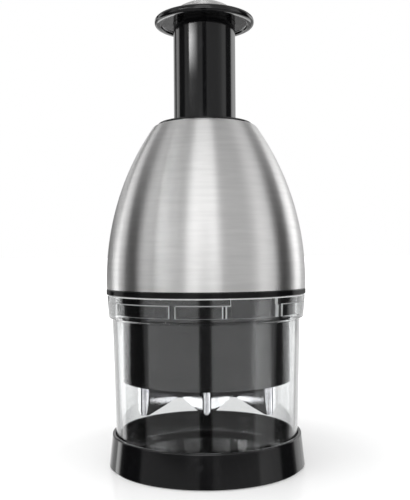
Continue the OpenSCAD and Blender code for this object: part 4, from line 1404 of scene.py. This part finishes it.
# Levels of the patterns and panels
NEAR_LOW = 0.22
LOWER_LEVEL = 0.36
BEHIND_LEVEL = 1.59
LEFT_PANEL_LEVEL = 4.0
LEFT_PANEL_FLOOR = 0.3
RIGHT_PANEL_LEVEL = 2.2
DISH_LEVEL = 0.35
LIP_LEVEL = 2.65
BRIGHT_LEVEL = 2.1
FADE_LEVEL = 0.32
OVERHEAD_LEVEL = 0.46
WINDOW_LEVEL = 21.0
# Least depths of a ray, between two counts: into the cup's wall, through it and back, and off a shine
WALL_ENTERED = 0.5
CUP_ENTERED = 2.5
MIRRORED = 0.5
WHITE = (1.0, 1.0, 1.0, 1.0)


def level_ramp(build, value, stops, low, high):
    """A brightness that follows a value through stops of degrees and level."""
    made = build.node("ShaderNodeValToRGB")
    ramp = made.color_ramp
    ramp.interpolation = "LINEAR"
    while len(ramp.elements) < len(stops):
        ramp.elements.new(0.5)
    for element, (degrees, level) in zip(ramp.elements, stops):
        element.position = (degrees - low) / (high - low)
        element.color = (level, level, level, 1.0)
    build.feed(made.inputs[0], value)
    return made.outputs[0]


def studio_world(stage):
    """White to the camera, soft panels round the object in reflections, and even light on it."""
    world = bpy.data.worlds.new("studio_world")
    bpy.context.scene.world = world
    world.use_nodes = True
    build = Tree(world.node_tree)
    world.node_tree.nodes.clear()
    direction = build.node("ShaderNodeTexCoord").outputs["Generated"]
    parts = build.node("ShaderNodeSeparateXYZ")
    build.feed(parts.inputs[0], direction)
    forward = build.times(parts.outputs[1], -1.0)
    turn = build.math("DIVIDE", build.math("ARCTAN2", parts.outputs[0], forward), math.pi)
    around = build.math("ABSOLUTE", turn)
    across = build.spread(turn, -1.0, 1.0, 0.0, 1.0)
    upper, middle, lower = (level_ramp(build, across, stops, -180.0, 180.0)
                            for stops in (UPPER_STOPS, MIDDLE_STOPS, LOWER_STOPS))
    backdrop = level_ramp(build, around, BACKDROP_STOPS, 0.0, 180.0)
    up = parts.outputs[2]
    # The dome's foot mirrors a level strip that no other piece does, so the upper pattern fills it too
    level_strip = build.band(up, *LEVEL_STRIP_EDGES)
    # The cup and what is in it show the lower pattern, which pieces behind its wall show at full strength
    light_path = build.node("ShaderNodeLightPath")
    in_wall = build.math("GREATER_THAN", light_path.outputs["Transmission Depth"], WALL_ENTERED)
    in_cup = build.math("GREATER_THAN", light_path.outputs["Transmission Depth"], CUP_ENTERED)
    upper_share = build.math("MAXIMUM", build.spread(up, *UPPER_EDGE, 0.0, 1.0), level_strip)
    upper_share = build.minus(upper_share, in_wall, clamp=True)
    lower_share = build.math("MAXIMUM", build.spread(up, *LOWER_EDGE, 0.0, 1.0), in_wall)
    near = build.times(middle, build.spread(up, *NEAR_EDGE, NEAR_LOW, 1.0))
    behind = build.times(in_cup, build.spread(around, *BEHIND_EDGE, BEHIND_LEVEL, 0.0))
    far = build.times(lower, build.plus(behind, LOWER_LEVEL))
    # The tray's two sides mirror brighter panels low down
    left_panel = build.band(turn, *LEFT_PANEL_EDGES, LEFT_PANEL_LEVEL, LEFT_PANEL_FLOOR)
    right_panel = build.band(turn, *RIGHT_PANEL_EDGES, RIGHT_PANEL_LEVEL)
    low_down = build.minus(build.spread(up, *LOW_DOWN_EDGE, 0.0, 1.0), in_wall, clamp=True)
    panels = build.times(build.math("MAXIMUM", left_panel, right_panel), low_down)
    far = build.times(far, build.plus(panels, 1.0))
    # The knob's dished underside mirrors a dim strip far behind, and its lip a bright one under that
    far_side = build.minus(build.spread(around, *FAR_SIDE_EDGE, 0.0, 1.0), in_wall, clamp=True)
    strips = build.plus(build.spread(up, *DISH_EDGE, 1.0, DISH_LEVEL),
                        build.spread(up, *LIP_EDGE, 0.0, LIP_LEVEL))
    far = build.mix(far_side, far, build.times(far, strips))
    # Overhead the dark bands fade out
    fade = build.times(build.spread(up, *BRIGHT_EDGE, BRIGHT_LEVEL, 1.0),
                       build.spread(up, *FADE_EDGE, 1.0, FADE_LEVEL))
    high = build.math("MAXIMUM", build.times(upper, fade),
                      build.spread(up, *OVERHEAD_EDGE, 0.0, OVERHEAD_LEVEL))
    studio = build.mix(upper_share, build.mix(lower_share, near, far), high)
    # One narrow bright window stands at the left, a little above eye level
    window = build.times(build.band(turn, *WINDOW_TURN_EDGES), build.band(up, *WINDOW_UP_EDGES))
    studio = build.plus(studio, build.times(window, WINDOW_LEVEL))
    seen = light_path.outputs["Is Camera Ray"]
    glossy = build.math("GREATER_THAN", light_path.outputs["Glossy Depth"], MIRRORED)
    through = build.mix(light_path.outputs["Is Transmission Ray"],
                        (stage.ambient, stage.ambient, stage.ambient, 1.0), backdrop)
    even = build.mix(glossy, through, studio)
    shown = build.mix(seen, even, WHITE)
    background = build.node("ShaderNodeBackground")
    build.feed(background.inputs["Color"], shown)
    output = build.node("ShaderNodeOutputWorld")
    build.feed(output.inputs["Surface"], background.outputs[0])


# Distances from the middle over which the table's glow goes from its least to white
GLOW_EDGE = (0.08, 0.45)
# Share of the glow that shows through the cup
GLOW_THROUGH = 0.2
TABLE_HALF = 30.0
# Lamps: name, property that holds the power, side of the square, place
LAMPS = [
    ("overhead_lamp", "key_power", 0.7, (-0.10, -0.25, 0.80)),
    ("left_lamp", "side_power", 0.6, (-0.75, -0.45, 0.35)),
    ("right_lamp", "side_power", 0.6, (0.75, -0.45, 0.35)),
]
LAMP_TARGET = (0.0, 0.0, 0.10)
SENSOR_WIDTH = 36.0
NEAREST_SEEN = 0.01


def floor_material(stage):
    """Pale table that keeps the shadow and shows near white to the camera."""
    finish = Finish("pale_table")
    build = finish.build
    marks = finish.group("handling_marks", scuff_group, Smear_Scale=12.0, Hairline_Scale=120.0)
    finish.set("Base Color", opaque(stage.floor_colour))
    finish.vary_roughness(marks["Smears"], 0.16, 0.22)
    finish.set("Emission Color", WHITE)
    light_path = build.node("ShaderNodeLightPath")
    through = build.times(light_path.outputs["Is Transmission Ray"], GLOW_THROUGH)
    seen = build.math("MAXIMUM", light_path.outputs["Is Camera Ray"], through)
    away = build.node("ShaderNodeVectorMath", operation="LENGTH")
    build.feed(away.inputs[0], build.spot())
    glow = build.spread(away.outputs["Value"], *GLOW_EDGE, stage.floor_glow, 1.0)
    finish.set("Emission Strength", build.times(seen, glow))
    # The world's own patterns take the table's place in reflections
    mirrored = build.math("GREATER_THAN", light_path.outputs["Glossy Depth"], MIRRORED)
    clear = build.node("ShaderNodeBsdfTransparent")
    shown = build.node("ShaderNodeMixShader")
    for socket, value in zip(shown.inputs, (mirrored, finish.shader.outputs[0], clear.outputs[0])):
        build.feed(socket, value)
    build.feed(build.tree.nodes["Material Output"].inputs["Surface"], shown.outputs[0])
    return finish.material


def lamp(name, power, size, spot):
    """A large square lamp at a place, turned to the chopper, that gloss and glass don't show."""
    data = bpy.data.lights.new(name, "AREA")
    data.energy = power
    data.shape = "SQUARE"
    data.size = size
    made = bpy.data.objects.new(name, data)
    bpy.context.scene.collection.objects.link(made)
    made.location = spot
    made.rotation_euler = (Vector(LAMP_TARGET) - Vector(spot)).to_track_quat("-Z", "Y").to_euler()
    made.visible_glossy = False
    made.visible_transmission = False


class Stage(bpy.types.Operator):
    """Table, lamps, surroundings and camera"""
    bl_idname = "chopper.stage"
    bl_label = "Stage"

    def execute(self, context):
        """Sets the studio."""
        stage = context.scene.chopper_stage
        context.scene.view_settings.view_transform = "Standard"
        half = TABLE_HALF
        mesh = bpy.data.meshes.new("table")
        mesh.from_pydata([(-half, -half, 0), (half, -half, 0), (half, half, 0), (-half, half, 0)], [],
                         [(0, 1, 2, 3)])
        mesh.materials.append(floor_material(stage))
        table = bpy.data.objects.new("table", mesh)
        context.scene.collection.objects.link(table)
        table.visible_glossy = False
        studio_world(stage)
        for name, power, size, spot in LAMPS:
            lamp(name, getattr(stage, power), size, spot)
        data = bpy.data.cameras.new("camera")
        data.sensor_width = SENSOR_WIDTH
        data.lens = stage.camera_lens
        data.shift_x = stage.shift_right
        data.shift_y = stage.shift_up
        data.clip_start = NEAREST_SEEN
        camera = bpy.data.objects.new("camera", data)
        context.scene.collection.objects.link(camera)
        camera.matrix_world = (Matrix.Translation((0.0, -stage.camera_distance, stage.camera_height))
                               @ Matrix.Rotation(math.pi / 2, 4, "X")
                               @ Matrix.Rotation(stage.camera_roll, 4, "Z"))
        context.scene.camera = camera
        return {"FINISHED"}


PIECES = (BaseTray, ClearCup, BayonetRing, BladeGuard, SteelShell, TopBush, Plunger, ZigzagBlade,
          ReturnSpring, Screws, InnerPieces, Stage)


class ChopperPanel(bpy.types.Panel):
    """Lists the chopper's pieces, sizes and finishes"""
    bl_idname = "VIEW3D_PT_chopper"
    bl_label = "Chopper"
    bl_space_type = "VIEW_3D"
    bl_region_type = "UI"
    bl_category = "Chopper"

    def draw(self, context):
        """Draws the operators and the properties."""
        for piece in PIECES:
            self.layout.operator(piece.bl_idname)
        scene = context.scene
        for group in (scene.chopper_sizes, scene.chopper_finish, scene.chopper_stage):
            box = self.layout.box()
            for key in group.__annotations__:
                box.prop(group, key)


CLASSES = (ChopperSizes, ChopperFinish, ChopperStage) + PIECES + (ChopperPanel,)


def register():
    """Registers the classes and hangs their properties on the scene."""
    for entry in CLASSES:
        bpy.utils.register_class(entry)
    bpy.types.Scene.chopper_sizes = PointerProperty(type=ChopperSizes)
    bpy.types.Scene.chopper_finish = PointerProperty(type=ChopperFinish)
    bpy.types.Scene.chopper_stage = PointerProperty(type=ChopperStage)


def unregister():
    """Takes the properties and classes away again."""
    del bpy.types.Scene.chopper_stage
    del bpy.types.Scene.chopper_finish
    del bpy.types.Scene.chopper_sizes
    for entry in reversed(CLASSES):
        bpy.utils.unregister_class(entry)


def main():
    """Builds every piece and the stage."""
    register()
    bpy.ops.chopper.base_tray()
    bpy.ops.chopper.clear_cup()
    bpy.ops.chopper.bayonet_ring()
    bpy.ops.chopper.blade_guard()
    bpy.ops.chopper.steel_shell()
    bpy.ops.chopper.top_bush()
    bpy.ops.chopper.plunger()
    bpy.ops.chopper.zigzag_blade()
    bpy.ops.chopper.return_spring()
    bpy.ops.chopper.screws()
    bpy.ops.chopper.inner_pieces()
    bpy.ops.chopper.stage()


if __name__ == "__main__":
    main()
